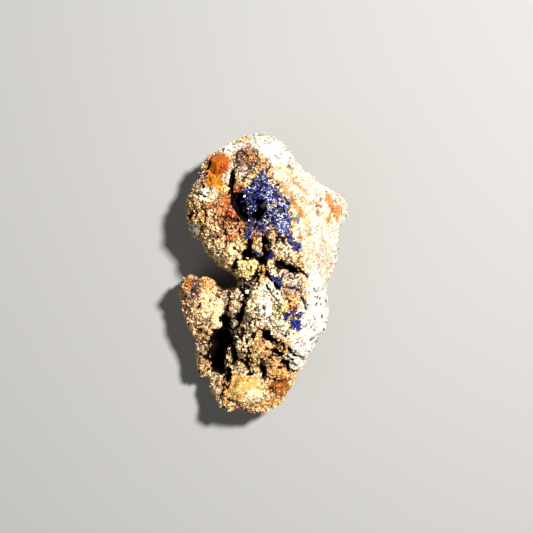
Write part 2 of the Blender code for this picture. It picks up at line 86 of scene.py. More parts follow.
# Cracks and slots in the crystal face: half-width, depth, and the points of each one in plan.
CUTS = [
    ("crown_crack", 0.5, 1.6, [(-7.2, 40.1), (-8.1, 38), (-8.3, 34)]),
    ("crown_crack_low", 1.2, 3.2, [(-8.6, 33.2), (-9.4, 29.3), (-9.8, 26.8)]),
    ("crown_crack_foot", 0.5, 1.4, [(-9.8, 27), (-10.6, 24.5)]),
    ("facet_edge", 0.5, 1.4, [(-18.2, 31.2), (-17.8, 33.8), (-17.2, 36.4)]),
    ("knob_rim", 0.45, 1.0, [(-22, 29.2), (-20.8, 31.3), (-20, 33.2)]),
    ("side_bed", 0.45, 1.0, [(-22.2, 25.6), (-19.8, 24.6), (-17.8, 23.8)]),
    ("rim_inner", 0.5, 1.1, [(-19.3, 21.3), (-17.9, 19.2), (-18.3, 16.9)]),
    ("rim_outer", 0.5, 1.2, [(-23.1, 17.1), (-22.2, 21.1), (-21.4, 24.2)]),
    ("chin_top", 0.5, 1.2, [(-8.9, 7.6), (-7.2, 6.6)]),
    ("knob_left", 1.1, 3.2, [(-4.1, 10.9), (-4.3, 8.1), (-5, 5.8)]),
    ("crevice", 1.9, 5.6, [(0.6, 11.0), (0.8, 8.2), (1.3, 6.0)]),
    ("crevice_foot", 1.5, 4.2, [(-5.6, 6), (-3, 5.8), (-0.7, 4.6)]),
    ("long_crack", 1.3, 3.6, [(-0.6, 5.8), (-0.1, 3.1), (1.3, 0), (3.2, -2.3), (4.7, -3.4)]),
    ("crust_void", 2.8, 6.5, [(-7.2, 22.6), (-7, 20.4), (-4.8, 18.9), (-2.8, 19.8), (-1.2, 21.4)]),
    ("crust_void_low", 1.4, 5.0, [(-1.1, 20.4), (-0.9, 16.6)]),
    ("recess", 0.7, 2.6, [(2.6, 6.6), (3.6, 4.8), (5.2, 3.0)]),
    ("recess_tail", 0.5, 1.6, [(9.4, 1.0), (12.2, 0.5), (13.1, -1.3)]),
    ("recess_mid", 1.6, 4.6, [(5.2, 2.9), (6.9, 1.9), (9.2, 1.1)]),
    ("ball_left", 0.8, 2.4, [(-10, 0.8), (-9.2, 2.7), (-7.6, 4), (-5.4, 4.6)]),
    ("ball_low", 0.75, 2.4, [(-8.6, -1.2), (-6.6, -1.9), (-3.6, -1.9), (-1.9, -0.4)]),
    ("ball_right", 0.7, 2.0, [(-1.8, 5), (-1.3, 2.2), (-1.9, -0.4)]),
    ("ball_right_low", 0.5, 1.6, [(-0.9, 3.6), (-0.6, 1.6), (-1.0, 0)]),
    ("under_ball_left", 0.38, 1.5, [(-8.4, -1), (-7.3, -2.6), (-7.6, -5.2)]),
    ("under_ball_mid", 0.38, 1.5, [(-5.2, -2), (-5.2, -4.4), (-5.8, -6.2)]),
    ("under_ball_right", 0.35, 1.1, [(-2.2, -0.6), (-1.8, -2.4), (-0.7, -3.9)]),
    ("under_ball_web", 0.34, 1.2, [(-7.6, -3.7), (-4.2, -3.2), (-1.8, -2.4)]),
    ("under_ball_foot", 0.38, 1.4, [(-4.2, -6.7), (-2.8, -4.3), (-0.9, -5.6)]),
    ("slot", 1.15, 4.0, [(-6.5, -9.6), (-7.2, -13.3), (-7.5, -16.4)]),
    ("slot_top", 1.0, 2.6, [(-6.2, -6), (-4.9, -7.7)]),
    ("lobe_slot", 0.55, 1.8, [(-11.2, -6.1), (-10.6, -8.5), (-11.4, -11.7)]),
    ("lobe_slot_low", 0.5, 1.8, [(-12.3, -12.9), (-13.1, -15.9), (-13.3, -18.6)]),
    ("tail_break_top", 0.6, 1.9, [(-21.5, -17.3), (-19.1, -18.5), (-17.1, -20.1)]),
    ("tail_break_high", 0.6, 2.0, [(-22, -21.4), (-19.6, -22.1), (-17.4, -23.2)]),
    ("tail_break_mid", 0.55, 1.8, [(-22, -25.7), (-19.6, -26.6), (-18.4, -28.2)]),
    ("tail_break_low", 0.6, 2.2, [(-22, -31.8), (-20, -32.2), (-17.8, -31.2)]),
    ("cavity_top", 2.1, 7.0, [(-11.6, -14.8), (-12.3, -18.6), (-12.7, -21.1)]),
    ("cavity", 3.6, 9.0, [(-14.6, -21.5), (-15, -26), (-14.6, -30)]),
    ("cavity_left", 2.4, 9.0, [(-16.3, -21.8), (-16.8, -27.6)]),
    ("cavity_right", 1.6, 7.0, [(-11.6, -20.0), (-10.8, -22.4)]),
    ("cavity_inner", 0.9, 5.0, [(-9.8, -18.8), (-9.3, -23.1), (-8.8, -26.7)]),
    ("cavity_foot", 0.8, 3.2, [(-8.8, -26.4), (-5.9, -28.7), (-4.4, -30.6)]),
    ("strip_edge", 1.1, 3.0, [(-11.4, -30.8), (-11.7, -34.1), (-13.1, -36.9), (-13.6, -39.8)]),
    ("web_left", 0.38, 1.4, [(-8.5, -18.2), (-7.3, -21), (-7.6, -24.9)]),
    ("web_mid", 0.38, 1.4, [(-5.8, -18.6), (-5, -22.4), (-5.8, -26.5)]),
    ("web_high", 0.38, 1.4, [(-9.3, -17.4), (-4.2, -18.2), (-2.7, -20.9)]),
    ("web_low", 0.6, 1.5, [(-7.2, -22.5), (-5.4, -24.8)]),
    ("ledge_high", 1.15, 3.4, [(0.5, -19.1), (2.1, -20.3), (3.7, -21.4)]),
    ("ledge_high_top", 0.45, 1.4, [(-1.2, -17.6), (0.5, -19.1)]),
    ("ledge_high_end", 0.6, 1.8, [(4.9, -20.9), (7.2, -23.4), (9.2, -25.2)]),
    ("ledge_split", 0.5, 1.5, [(9.2, -25.2), (10.6, -26.4), (13, -27.1)]),
    ("ledge_mid", 1.4, 4.2, [(3.9, -24.2), (5.2, -25.5), (6.7, -27.0)]),
    ("ledge_mid_foot", 1.35, 3.6, [(6.7, -27.0), (7.6, -28.9), (8.1, -30.1)]),
    ("ledge_end", 0.75, 2.2, [(4.8, -29.2), (7.2, -30.1), (9.4, -30.7)]),
    ("ledge_end_high", 0.5, 1.4, [(7.6, -25.6), (9.6, -27.7), (10.4, -29.3)]),
    ("field_crack", 0.6, 1.8, [(0.9, -23.2), (2.9, -24.3)]),
    ("field_pit", 0.6, 1.6, [(2.2, -26.0), (3.2, -27.0)]),
    ("field_crack_low", 0.7, 1.8, [(-1.1, -27.3), (-0.1, -29.3), (0.5, -31.3)]),
    ("field_crack_left", 0.9, 2.2, [(-5.4, -26.9), (-4.7, -29.8), (-4.5, -32)]),
    ("ledge_low", 1.1, 3.2, [(-1.5, -29.3), (-0.1, -31.4), (1.4, -32.9)]),
    ("ledge_low_end", 0.55, 1.6, [(1.4, -32.9), (3.6, -33.7), (5.8, -34.3)]),
    ("foot_crack", 0.4, 0.9, [(-14.2, -37.2), (-12.7, -39.4), (-9.9, -40.2), (-7.9, -41.9)]),
    ("field_line", 0.35, 1.0, [(0.8, -3.4), (1.8, -5.6), (2.8, -7.2), (4.6, -9.0)]),
    ("slab_line", 0.3, 0.9, [(6.2, -5.4), (7.6, -7.6), (8.0, -10.2)]),
    ("lump_edge", 0.35, 1.0, [(3.2, -3.5), (5.1, -5.8), (5.9, -7.7)]),
    ("slab_edge", 0.35, 1.0, [(7.9, -8.1), (8.4, -11.2), (8.6, -12.4)]),
    ("lump_side", 0.35, 1.0, [(4.7, 1.9), (5.5, -0.8), (5.8, -3.5)]),
    ("horn_line", 0.45, 1.0, [(-21.6, -3.0), (-23.0, -4.8), (-22.6, -7.2)]),
    ("horn_side", 0.5, 1.2, [(-19.6, -0.8), (-19.9, -3.0)]),
    ("lobe_top", 0.4, 1.0, [(-16.2, -6.0), (-13.8, -8.0)]),
    ("shoulder_edge", 0.45, 1.1, [(11.4, -5), (12.3, -8.8), (13.2, -10.9)]),
]
# Lumps and dents on the same face: centre, radii and turn in plan, and the height.
LUMPS = [
    ("ball", (-5.4, 1.7, 3.7, 3.3, 0), 2.1),
    ("rim_shelf", (-20.6, 19.6, 4.2, 9.5, 8), 3.2),
    ("chin_shelf", (-13.4, 7.4, 5.4, 3.2, -35), 2.3),
    ("field_ridge", (-1.6, -10.5, 3.4, 7.4, -6), 1.8),
    ("lobe_crown", (-19.4, -10, 4.4, 6.0, 0), 0.8),
    ("crevice_knob", (-2.4, 9.8, 1.7, 2.6, 10), 1.0),
    ("field_knob", (5.4, -10.6, 2.4, 2.8, 0), 1.1),
    ("facet", (-13.9, 35.0, 3.4, 3.6, 15), 0.7),
    ("knob_low", (-12.2, 30.4, 2.4, 4.0, -8), 0.5),
    ("horn_tip", (-24.2, -2.2, 1.6, 2.4, 0), 1.0),
    ("rib", (-11.5, -26.0, 0.9, 4.4, 2), 6.0),
    ("crown_dent", (-4.6, 32.0, 2.2, 2.0, 0), -0.7),
    ("crown_peak", (0.6, 41.6, 3.0, 2.2, 0), 1.0),
    ("crown_hump", (7.0, 38.2, 2.6, 2.0, -40), 0.9),
    ("crown_hollow", (4.4, 36.0, 1.4, 1.6, 0), -0.7),
    ("saddle_hollow", (8.2, 33.4, 1.3, 1.2, 0), -0.8),
    ("ridge_hollow", (15.8, 20.6, 1.2, 2.8, 20), -0.5),
    ("field_dent", (-9.0, -6.4, 1.4, 2.6, 0), -0.8),
]


def smooth_step(value, low, high):
    """0 below low, 1 above high, and an even S-curve between them."""
    share = np.clip((value - low) / (high - low), 0.0, 1.0)
    return share * share * (3.0 - 2.0 * share)


def fade(value, low, high):
    """1 below low, 0 above high, and the same curve between them."""
    return 1.0 - smooth_step(value, low, high)


def lattice_value(ix, iy, iz, seed):
    """A fixed pseudo-random number from 0 to 1 for each whole-number lattice point: the three
    coordinates are mixed into one 32-bit number by multiplying and shifting it."""
    mixed = (ix * 73856093) ^ (iy * 19349663) ^ (iz * 83492791) ^ (seed * 2654435761)
    mixed = mixed & 0xFFFFFFFF
    mixed = ((mixed ^ (mixed >> 15)) * 2246822519) & 0xFFFFFFFF
    mixed = ((mixed ^ (mixed >> 13)) * 3266489917) & 0xFFFFFFFF
    return (mixed ^ (mixed >> 16)) / 4294967295.0


def soft_noise(points, size, seed):
    """Value noise from -1 to 1: random values on a lattice of the given size, eased together
    along x, then y, then z."""
    place = points / size
    whole = np.floor(place).astype(np.int64)
    part = place - whole
    ease = part * part * (3.0 - 2.0 * part)
    total = np.zeros(len(points))
    for corner in range(8):
        step = np.array([corner & 1, (corner >> 1) & 1, (corner >> 2) & 1])
        value = lattice_value(*(whole + step).T, seed)
        total += value * np.prod(np.where(step == 1, ease, 1.0 - ease), axis=1)
    return 2.0 * total - 1.0


def layered_noise(points, size, layers, seed):
    """Soft noise summed over layers, each half as large and half as strong as the last."""
    total = np.zeros(len(points))
    for layer in range(layers):
        total += soft_noise(points, size * 0.5**layer, seed + 17 * layer) * 0.5**layer
    return total / (2.0 - 0.5 ** (layers - 1))


def shifts(points, size, layers, seed):
    """Layered noise along each of the three axes, by which points are moved about."""
    return np.column_stack([layered_noise(points, size, layers, seed + i) for i in range(3)])


def cell_noise(points, size, seed):
    """Cellular noise: the distance to the nearest and to the second nearest of the random
    points, one in each lattice cell, in cell sizes, and a random number for the nearest one."""
    place = points / size
    whole = np.floor(place).astype(np.int64)
    first = np.full(len(points), 9.0)
    second = np.full(len(points), 9.0)
    label = np.zeros(len(points))
    for corner in range(27):
        step = np.array([corner % 3 - 1, corner // 3 % 3 - 1, corner // 9 - 1])
        cell = whole + step
        seat = np.stack([lattice_value(*cell.T, seed + axis) for axis in range(3)], axis=1)
        away = np.linalg.norm(cell + seat - place, axis=1)
        nearer = away < first
        second = np.where(nearer, first, np.minimum(second, away))
        label = np.where(nearer, lattice_value(*cell.T, seed + 5), label)
        first = np.where(nearer, away, first)
    return first, second, label


def from_line(points, line):
    """How far each point is, in plan, from a broken line: the least of its distances to the
    nearest places on the line's stretches."""
    nearest = np.full(len(points), np.inf)
    for start, end in zip(np.array(line[:-1]), np.array(line[1:])):
        run = end - start
        share = np.clip(((points[:, :2] - start) @ run) / (run @ run), 0.0, 1.0)
        foot = start + share[:, None] * run
        nearest = np.minimum(nearest, np.linalg.norm(points[:, :2] - foot, axis=1))
    return nearest


def from_centre(points, patch):
    """How far each point is, in plan, from the centre of a turned ellipse: 1 on its rim."""
    x, y, across, along, turn = patch
    angle = math.radians(turn)
    dx, dy = points[:, 0] - x, points[:, 1] - y
    side = (dx * math.cos(angle) + dy * math.sin(angle)) / across
    end = (-dx * math.sin(angle) + dy * math.cos(angle)) / along
    return np.hypot(side, end)


def mesh_arrays(mesh):
    """The vertices, in millimetres, and the vertex normals of a mesh."""
    points = np.empty(len(mesh.vertices) * 3)
    normals = np.empty(len(mesh.vertices) * 3)
    mesh.vertices.foreach_get("co", points)
    mesh.vertices.foreach_get("normal", normals)
    return points.reshape(-1, 3) / MM, normals.reshape(-1, 3)


def move_points(mesh, points):
    """Moves the vertices of a mesh to points in millimetres."""
    mesh.vertices.foreach_set("co", (points * MM).ravel())
    mesh.update()


def make_even(obj, voxel):
    """Meshes an object's surface anew, closed and even, and softens it a little."""
    weld = obj.modifiers.new("weld", "WELD")
    weld.merge_threshold = WELD * MM
    even = obj.modifiers.new("even", "REMESH")
    even.mode = "VOXEL"
    even.voxel_size = voxel * MM
    soften = obj.modifiers.new("soften", "SMOOTH")
    soften.iterations = 3
    bpy.context.view_layer.update()
    graph = bpy.context.evaluated_depsgraph_get()
    obj.data = bpy.data.meshes.new_from_object(obj.evaluated_get(graph))
    obj.modifiers.clear()


def fine_copy(node, name, voxel):
    """A closed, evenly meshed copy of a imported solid, whose loose triangles are merged first."""
    obj = bpy.data.objects.new(name, bpy.data.objects[node].data.copy())
    bpy.context.scene.collection.objects.link(obj)
    make_even(obj, voxel)
    return obj


# The colours of the stone and of the streaks on its cream side, and the near-black painted
# as shade in the gaps between grains.
ROCK_TAN = (0.72, 0.53, 0.29)
ROCK_OCHRE = (0.66, 0.38, 0.13)
ROCK_CREAM = (0.50, 0.465, 0.385)
ROCK_PEACH = (0.50, 0.28, 0.10)
ROCK_DARK = (0.006, 0.003, 0.003)
# Stains down the sides and on the back: colour, size, seed, where the noise begins and ends
# to show it, and how strongly it covers.
SIDE_STAINS = [
    ((0.20, 0.12, 0.07), 6.0, 47, 0.10, 0.55, 0.9),
    ((0.36, 0.13, 0.05), 9.0, 48, 0.15, 0.45, 0.8),
    ((0.80, 0.70, 0.52), 11.0, 49, 0.10, 0.40, 0.8),
    ((0.66, 0.36, 0.07), 7.0, 50, 0.25, 0.50, 0.8),
]
# Patches of the crystal face, each a stain, a bare face, painted shade or a painted highlight:
# colour, then centre, radii and turn in plan, how strongly it covers, how ragged its edge is, and
# how far it smooths the stone.
STAINS = [
    ("crown_white", (0.575, 0.565, 0.535), (3.4, 38.4, 9, 4.4, -28), 0.9, 0.4, 0.45),
    ("ridge_white", (0.57, 0.545, 0.475), (14, 30, 9, 3.2, -38), 0.8, 0.5, 0.4),
    ("flank_white", (0.59, 0.585, 0.57), (16.6, -12, 5.2, 15, 6), 0.95, 0.3, 0.65),
    ("flank_low", (0.58, 0.56, 0.52), (11, -26, 4, 6, -30), 0.8, 0.4, 0.5),
    ("saddle_yellow", (0.62, 0.50, 0.30), (7, 31.6, 4, 3, -40), 0.7, 0.5, 0),
    # The next five are painted shade: dark spots for the shade in small pits of the cream stone.
    ("saddle_pit", (0.14, 0.13, 0.08), (8.0, 33.8, 0.9, 1.0, 0), 0.9, 0.3, 0),
    ("saddle_pit_low", (0.18, 0.16, 0.10), (8.8, 32.6, 0.9, 0.5, 30), 0.8, 0.3, 0),
    ("crown_pit", (0.20, 0.18, 0.12), (4.2, 36.3, 0.5, 1.1, 30), 0.85, 0.3, 0),
    ("crown_pit_shade", (0.24, 0.21, 0.15), (1.2, 36.0, 1.2, 0.6, 0), 0.8, 0.4, 0),
    ("crown_pit_shade_high", (0.26, 0.23, 0.16), (6.8, 39.0, 0.6, 0.5, 0), 0.8, 0.4, 0),
    ("saddle_orange", (0.50, 0.28, 0.12), (11.6, 26.6, 4.6, 0.8, -42), 0.75, 0.5, 0),
    ("saddle_stain", (0.54, 0.28, 0.13), (4.6, 28.6, 2.8, 1.0, -40), 0.8, 0.5, 0),
    ("shoulder_peach", (0.58, 0.42, 0.30), (14.4, 8, 2.0, 8, 6), 0.6, 0.6, 0),
    # Painted shade in the hollow of the crust.
    ("crust_hollow_shade", (0.02, 0.012, 0.010), (-4.2, 19.8, 4.3, 3.2, -15), 0.97, 0.25, 0),
    ("chin", (0.96, 0.72, 0.40), (-11, 7.4, 7.5, 5.2, -25), 0.85, 0.3, 0.25),
    ("ball", (0.98, 0.74, 0.31), (-5.4, 1.8, 3.9, 3.5, 0), 0.95, 0.15, 0.4),
    ("tan_lump", (0.86, 0.70, 0.46), (6.4, 8.2, 3.2, 6.4, 45), 0.85, 0.25, 0),
    ("tan_lump_stain", (0.72, 0.36, 0.15), (3.9, 11.2, 1.2, 2.2, 60), 0.6, 0.6, 0),
    ("crevice_knob", (0.76, 0.56, 0.30), (-2.6, 9.2, 1.8, 2.4, 0), 0.8, 0.3, 0),
    ("crevice_knob_top", (0.62, 0.24, 0.08), (-2.5, 11.4, 1.8, 1.4, 0), 0.85, 0.4, 0),
    ("middle_lump", (0.84, 0.72, 0.46), (3.1, 0.9, 2.4, 4.2, 40), 0.85, 0.2, 0),
    ("crossed_slab", (0.40, 0.38, 0.34), (8.6, -2.6, 4, 4.6, 40), 0.7, 0.4, 0),
    ("slab_brown", (0.36, 0.25, 0.15), (5.4, -6.4, 2.6, 2.6, 40), 0.6, 0.5, 0),
    ("under_ball", (0.98, 0.86, 0.70), (-5, -5, 3.4, 3.8, 0), 0.75, 0.4, 0),
    ("lobe", (0.90, 0.67, 0.38), (-18.2, -10.8, 7.4, 8.6, 0), 0.85, 0.3, 0.2),
    ("lobe_low", (0.70, 0.44, 0.20), (-19.2, -18.4, 4.4, 2.4, 0), 0.7, 0.4, 0),
    ("lobe_slot", (0.50, 0.40, 0.29), (-10.4, -9.5, 2.4, 7, 10), 0.7, 0.4, 0),
    ("horn", (0.22, 0.13, 0.10), (-23, -4.4, 4, 4.6, 0), 0.9, 0.3, 0.3),
    ("horn_mauve", (0.21, 0.11, 0.075), (-21.9, -2.6, 1.7, 2.6, 0), 0.8, 0.4, 0.2),
    ("horn_orange", (0.46, 0.16, 0.02), (-24.4, -2.8, 1.5, 3.2, -10), 0.9, 0.3, 0.3),
    ("horn_knob", (0.74, 0.42, 0.14), (-18.0, -3.4, 2.5, 2.1, 0), 0.85, 0.3, 0),
    ("tail", (0.48, 0.31, 0.15), (-19.6, -25, 2.6, 8.6, 0), 0.85, 0.4, 0),
    ("tail_white", (0.86, 0.78, 0.62), (-21.4, -26, 0.9, 3.0, 0), 0.6, 0.5, 0),
    # Painted shade in the deep cavity low on the left.
    ("cavity", (0.02, 0.012, 0.010), (-14.6, -25, 3.8, 6.6, 4), 0.97, 0.2, 0),
    ("rib", (0.60, 0.47, 0.32), (-11.5, -26, 0.8, 4.4, 2), 0.85, 0.3, 0),
    ("strip", (0.60, 0.44, 0.28), (-14.6, -35, 2.4, 5.4, 0), 0.7, 0.4, 0),
    ("lower_field", (0.58, 0.37, 0.15), (-0.6, -24, 8.6, 7.4, 10), 0.85, 0.4, 0),
    ("lower_field_left", (0.92, 0.76, 0.50), (-6.6, -20, 3, 4.6, 0), 0.75, 0.5, 0),
    ("low_slab", (0.62, 0.32, 0.10), (5, -31.2, 5, 2.6, -30), 0.8, 0.4, 0),
    ("pale_field", (1.0, 0.95, 0.78), (1.8, -9.6, 4.6, 8.4, -8), 0.9, 0.35, 0.3),
    ("pale_field_low", (0.90, 0.80, 0.60), (5.4, -17.6, 5.6, 3.6, -20), 0.85, 0.35, 0.3),
    ("pale_field_left", (0.94, 0.78, 0.46), (-3.6, -14, 2.6, 5.2, 0), 0.8, 0.45, 0),
    ("field_knob", (0.78, 0.62, 0.28), (5.2, -10.4, 2.5, 3, 0), 0.85, 0.3, 0),
    ("foot", (0.64, 0.36, 0.09), (-6.4, -36.8, 7, 5, -6), 0.9, 0.2, 0.72),
    ("foot_yellow", (0.70, 0.47, 0.16), (-5.4, -37.6, 4.6, 3.6, 0), 0.8, 0.35, 0.72),
    # A painted highlight on the smooth foot.
    ("foot_highlight", (0.64, 0.57, 0.38), (-3.2, -38.8, 3.4, 2.7, 10), 0.85, 0.35, 0.78),
    ("foot_orange", (0.30, 0.085, 0.004), (5.2, -36.6, 3.8, 3.8, 0), 0.95, 0.5, 0.3),
    ("foot_left", (0.52, 0.27, 0.08), (-12.2, -40.6, 2.2, 1.4, 0), 0.8, 0.4, 0.2),
    ("foot_low", (0.70, 0.34, 0.05), (1.6, -41.4, 4.2, 1.2, 10), 0.8, 0.4, 0.5),
    ("rust", (0.46, 0.185, 0.06), (-11.4, 18.4, 8.4, 9, 0), 0.9, 0.35, 0),
    ("rust_red", (0.46, 0.13, 0.045), (-9.4, 21.8, 3.4, 6, -30), 0.8, 0.4, 0),
    ("rust_low", (0.66, 0.36, 0.15), (-10.6, 12.6, 4.6, 3.4, 0), 0.6, 0.5, 0),
    # Painted shade on the rock at the crust's foot.
    ("crust_foot_shade", (0.09, 0.05, 0.045), (-2.6, 15.3, 3.9, 2.0, 0), 0.85, 0.45, 0),
    ("rust_left", (0.92, 0.68, 0.42), (-16.6, 15, 2.4, 5, 0), 0.6, 0.5, 0),
    ("crown_brown", (0.145, 0.08, 0.075), (-5.4, 36, 4.4, 5, 20), 0.9, 0.35, 0),
    ("crown_spot", (0.52, 0.20, 0.05), (-4.2, 36.4, 1.6, 1.9, 0), 0.85, 0.4, 0),
    ("crown_stain", (0.58, 0.26, 0.11), (0.4, 34.4, 1.9, 1.5, -30), 0.7, 0.5, 0),
    ("crown_top", (0.60, 0.54, 0.44), (-5, 40.6, 3, 1.8, 0), 0.6, 0.4, 0),
    ("crown_grey", (0.66, 0.62, 0.56), (-6.2, 31.4, 2.3, 2.4, 0), 0.8, 0.4, 0),
    ("knob_white", (0.80, 0.74, 0.64), (-11.4, 31.2, 2.2, 4.6, -8), 0.85, 0.35, 0.2),
    ("knob_rim", (0.86, 0.83, 0.76), (-11.8, 38.9, 6.0, 2.2, 24), 0.9, 0.2, 0.3),
    # Painted shade on the knob's left slope, which faces away from the light.
    ("knob_left", (0.34, 0.25, 0.20), (-20.6, 30.4, 2.2, 5.4, 10), 0.85, 0.4, 0),
    ("knob_ochre", (0.84, 0.56, 0.18), (-14.4, 27.2, 4.8, 1.9, 5), 0.85, 0.4, 0),
    ("facet_low", (0.80, 0.27, 0.01), (-15.4, 29.2, 3.0, 4.8, 8), 0.95, 0.2, 0.7),
    ("facet", (0.385, 0.082, 0.001), (-14.3, 34.8, 4.2, 4.1, 20), 0.97, 0.08, 0.9),
    ("facet_deep", (0.30, 0.056, 0.002), (-12.4, 32.8, 1.9, 1.7, 0), 0.75, 0.4, 0.85),
    ("rim_white", (1.0, 0.94, 0.76), (-17.6, 25.0, 3.6, 2.4, 0), 0.8, 0.5, 0),
    ("rim_ochre", (0.95, 0.56, 0.10), (-20.0, 15.8, 1.7, 1.6, 0), 0.9, 0.3, 0),
    ("rim_spot", (0.76, 0.34, 0.05), (-19.6, 19.2, 1, 1, 0), 0.9, 0.3, 0),
    ("rim_edge", (0.70, 0.42, 0.14), (-23, 19, 1.2, 3.4, 0), 0.7, 0.5, 0),
    ("rim_pale", (1.0, 0.97, 0.9), (-21.7, 14.2, 1.4, 2.0, 0), 0.85, 0.3, 0),
    ("corner_streak", (0.46, 0.17, 0.03), (21.2, 21.6, 0.9, 4.0, 20), 0.92, 0.6, 0.1),
    ("corner_edge", (0.46, 0.17, 0.03), (23.6, 19.2, 1.2, 3.0, -6), 0.92, 0.55, 0.1),
    ("corner_low", (0.50, 0.20, 0.03), (20.8, 17.6, 0.6, 1.8, -10), 0.9, 0.4, 0.2),
    ("ridge_streak", (0.50, 0.22, 0.035), (11.0, 19.4, 1.0, 3.8, 38), 0.95, 0.4, 0),
    ("ridge_streak_low", (0.56, 0.36, 0.18), (13.8, 14.6, 1.0, 4.4, 20), 0.7, 0.5, 0),
    ("ridge_streak_high", (0.46, 0.24, 0.08), (8.2, 24.6, 0.8, 3.8, 38), 0.9, 0.5, 0),
    ("ridge_spot_high", (0.60, 0.34, 0.15), (12.6, 22.6, 1.6, 0.9, -20), 0.7, 0.5, 0),
    # Painted shade in a small pit.
    ("ridge_pit", (0.24, 0.19, 0.12), (17.2, 19.4, 0.7, 1.6, 16), 0.75, 0.4, 0),
    ("ridge_spot", (0.50, 0.17, 0.03), (11.4, 11.2, 0.8, 0.8, 0), 1.0, 0.3, 0),
    ("shoulder_streak", (0.64, 0.50, 0.32), (13.4, -2.6, 1.6, 6, 0), 0.6, 0.5, 0),
    ("shoulder_tan", (0.42, 0.36, 0.26), (19.2, 2.6, 2.6, 5.6, 0), 0.7, 0.7, 0),
    ("crown_shade", (0.40, 0.31, 0.24), (1.4, 33.6, 2.4, 2.0, -30), 0.5, 0.5, 0),
    ("shoulder_edge", (0.66, 0.42, 0.18), (12.8, -6.4, 0.8, 3.6, 0), 0.6, 0.5, 0),
]
# Where the leached side is pitted most: centre, radii and turn in plan.
FLANK_PITS = (16.4, -12.5, 4.4, 9.6, 0)
# The streaks' own axes: long along the ridge, which falls to the right at 50 degrees.
STREAK_TURN = np.array([[2.2 * 0.77, 0.64, 0.0], [2.2 * 0.64, -0.77, 0.0], [0.0, 0.0, 1.0]]) * 0.6
# Where the leached, cream-coloured side of the stone begins: x at each y, from foot to crown.
CREAM_EDGE_Y = [-31, -26.6, -23.5, -20.5, -14.3, -8.1, -0.4, 5.8, 10.5, 15, 19, 24.5, 29, 33, 38, 42]
CREAM_EDGE_X = [11.0, 10.6, 9.0, 8.0, 9.8, 12.6, 13.4, 12.0, 9.6, 8.6, 8.8, 6.4, 4.0, 2.6, -1.0, -5]
# The edges of a cut wander in full up to this half-width, and by a smaller share beyond it.
WANDER_REACH = 1.5


def between(low, high, share):
    """The colour at each point that lies a share of the way from one colour to another."""
    return low + share[:, None] * (np.array(high) - low)


def rock_colours(points, face):
    """The colour of the stone at each point and how smooth it is there: tan and ochre by broad
    noise, cream right of its edge, then each patch in turn, stains and some painted shade and
    highlight. These lie on the crystal face only, so face, from 0 to 1, fades them out down the
    sides."""
    broad = layered_noise(points, 9.0, 3, 31)
    colour = between(ROCK_TAN, ROCK_OCHRE, smooth_step(broad, -0.1, 0.5))
    for tint, size, seed, low, high, cover in SIDE_STAINS:
        weight = cover * smooth_step(layered_noise(points * [1, 1, 0.7], size, 4, seed), low, high)
        colour = between(colour, tint, weight * (1.0 - face))
    edge = np.interp(points[:, 1], CREAM_EDGE_Y, CREAM_EDGE_X)
    edge = points[:, 0] - edge + 1.6 * layered_noise(points, 3.4, 3, 53)
    edge += (1.0 - face) * 7.0 * layered_noise(points, 11.0, 4, 57)
    cream = smooth_step(edge, -0.9 - 2.5 * (1.0 - face), 1.2 + 2.5 * (1.0 - face))
    patchy = 0.5 + 0.5 * smooth_step(layered_noise(points, 7.0, 2, 59), -0.45, 0.1)
    cream *= face + (1.0 - face) * patchy
    colour = between(colour, ROCK_CREAM, cream)
    streak = layered_noise(points * [1.0, 0.8, 1.0] @ STREAK_TURN, 2.4, 4, 61)
    streak = smooth_step(streak, 0.12, 0.6) * (cream * face * smooth_step(points[:, 1], -12.0, 4.0))
    colour = between(colour, ROCK_PEACH, 0.8 * streak)
    calm = np.maximum(0.35 * cream, 0.25 * (1.0 - face))
    ragged_edge = layered_noise(points, 2.6, 3, 71)
    for _, tint, patch, cover, ragged, smoothing in STAINS:
        inside = fade(from_centre(points, patch) + ragged * ragged_edge, 0.78, 1.08)
        weight = cover * face * inside
        colour = between(colour, tint, weight)
        calm = np.maximum(calm * (1.0 - weight), weight * smoothing)
    return colour, calm, cream


def facing_up(points, normals, heights):
    """0 on the sides and the back, 1 on the crystal face: height, and more where the surface
    faces up, or less where it faces down, eased from the first of two heights to the second."""
    return smooth_step(points[:, 2] + FACE_LEAN * normals[:, 2], *heights)


def carved(points):
    """How far the cracks and slots sink the crystal face: each is full depth along its middle
    and runs out to nothing at its edges. The noise in plan makes its line jagged, and its width
    wander, by a smaller share on the widest ones."""
    points = points * [1.0, 1.0, 0.0]
    wander = np.clip(0.95 + 1.1 * layered_noise(points, 1.4, 3, 81), 0.2, 1.7)
    points = points + 0.8 * shifts(points, 2.4, 3, 83) + 0.25 * shifts(points, 0.9, 1, 86)
    depth = np.zeros(len(points))
    for _, reach, deep, line in CUTS:
        share = min(1.0, WANDER_REACH / reach)
        side = from_line(points, line) / (1.0 + share * (wander - 1.0))
        depth = np.maximum(depth, deep * fade(side, 0.3 * reach, 1.1 * reach))
    return depth


# The lumps and cuts come first, on an even mesh, which is then made even again, so that the
# steep walls of the cuts have as many points as the rest when the fine relief is added.
rock = fine_copy("matrix", "rock", ROCK_VOXEL)
rock_points, rock_normals = mesh_arrays(rock.data)
rock_face = facing_up(rock_points, rock_normals, FACE_HEIGHTS)
for _, patch, lift in LUMPS:
    dome = np.clip(1.0 - from_centre(rock_points, patch) ** 2, 0, 1) ** 0.7
    rock_points[:, 2] += lift * rock_face * dome
sunk = np.minimum(rock_points[:, 2], ROCK_LEAST)
drop = carved(rock_points)
# The deep cuts also sink the rock's sides where they cross them, above its foot.
deep = smooth_step(drop, 1.5, 3.5) * smooth_step(rock_points[:, 2], 4.0, 7.0)
drop *= np.maximum(rock_face, deep)
rock_points[:, 2] = np.maximum(rock_points[:, 2] - drop, sunk)
move_points(rock.data, rock_points)
make_even(rock, ROCK_VOXEL)

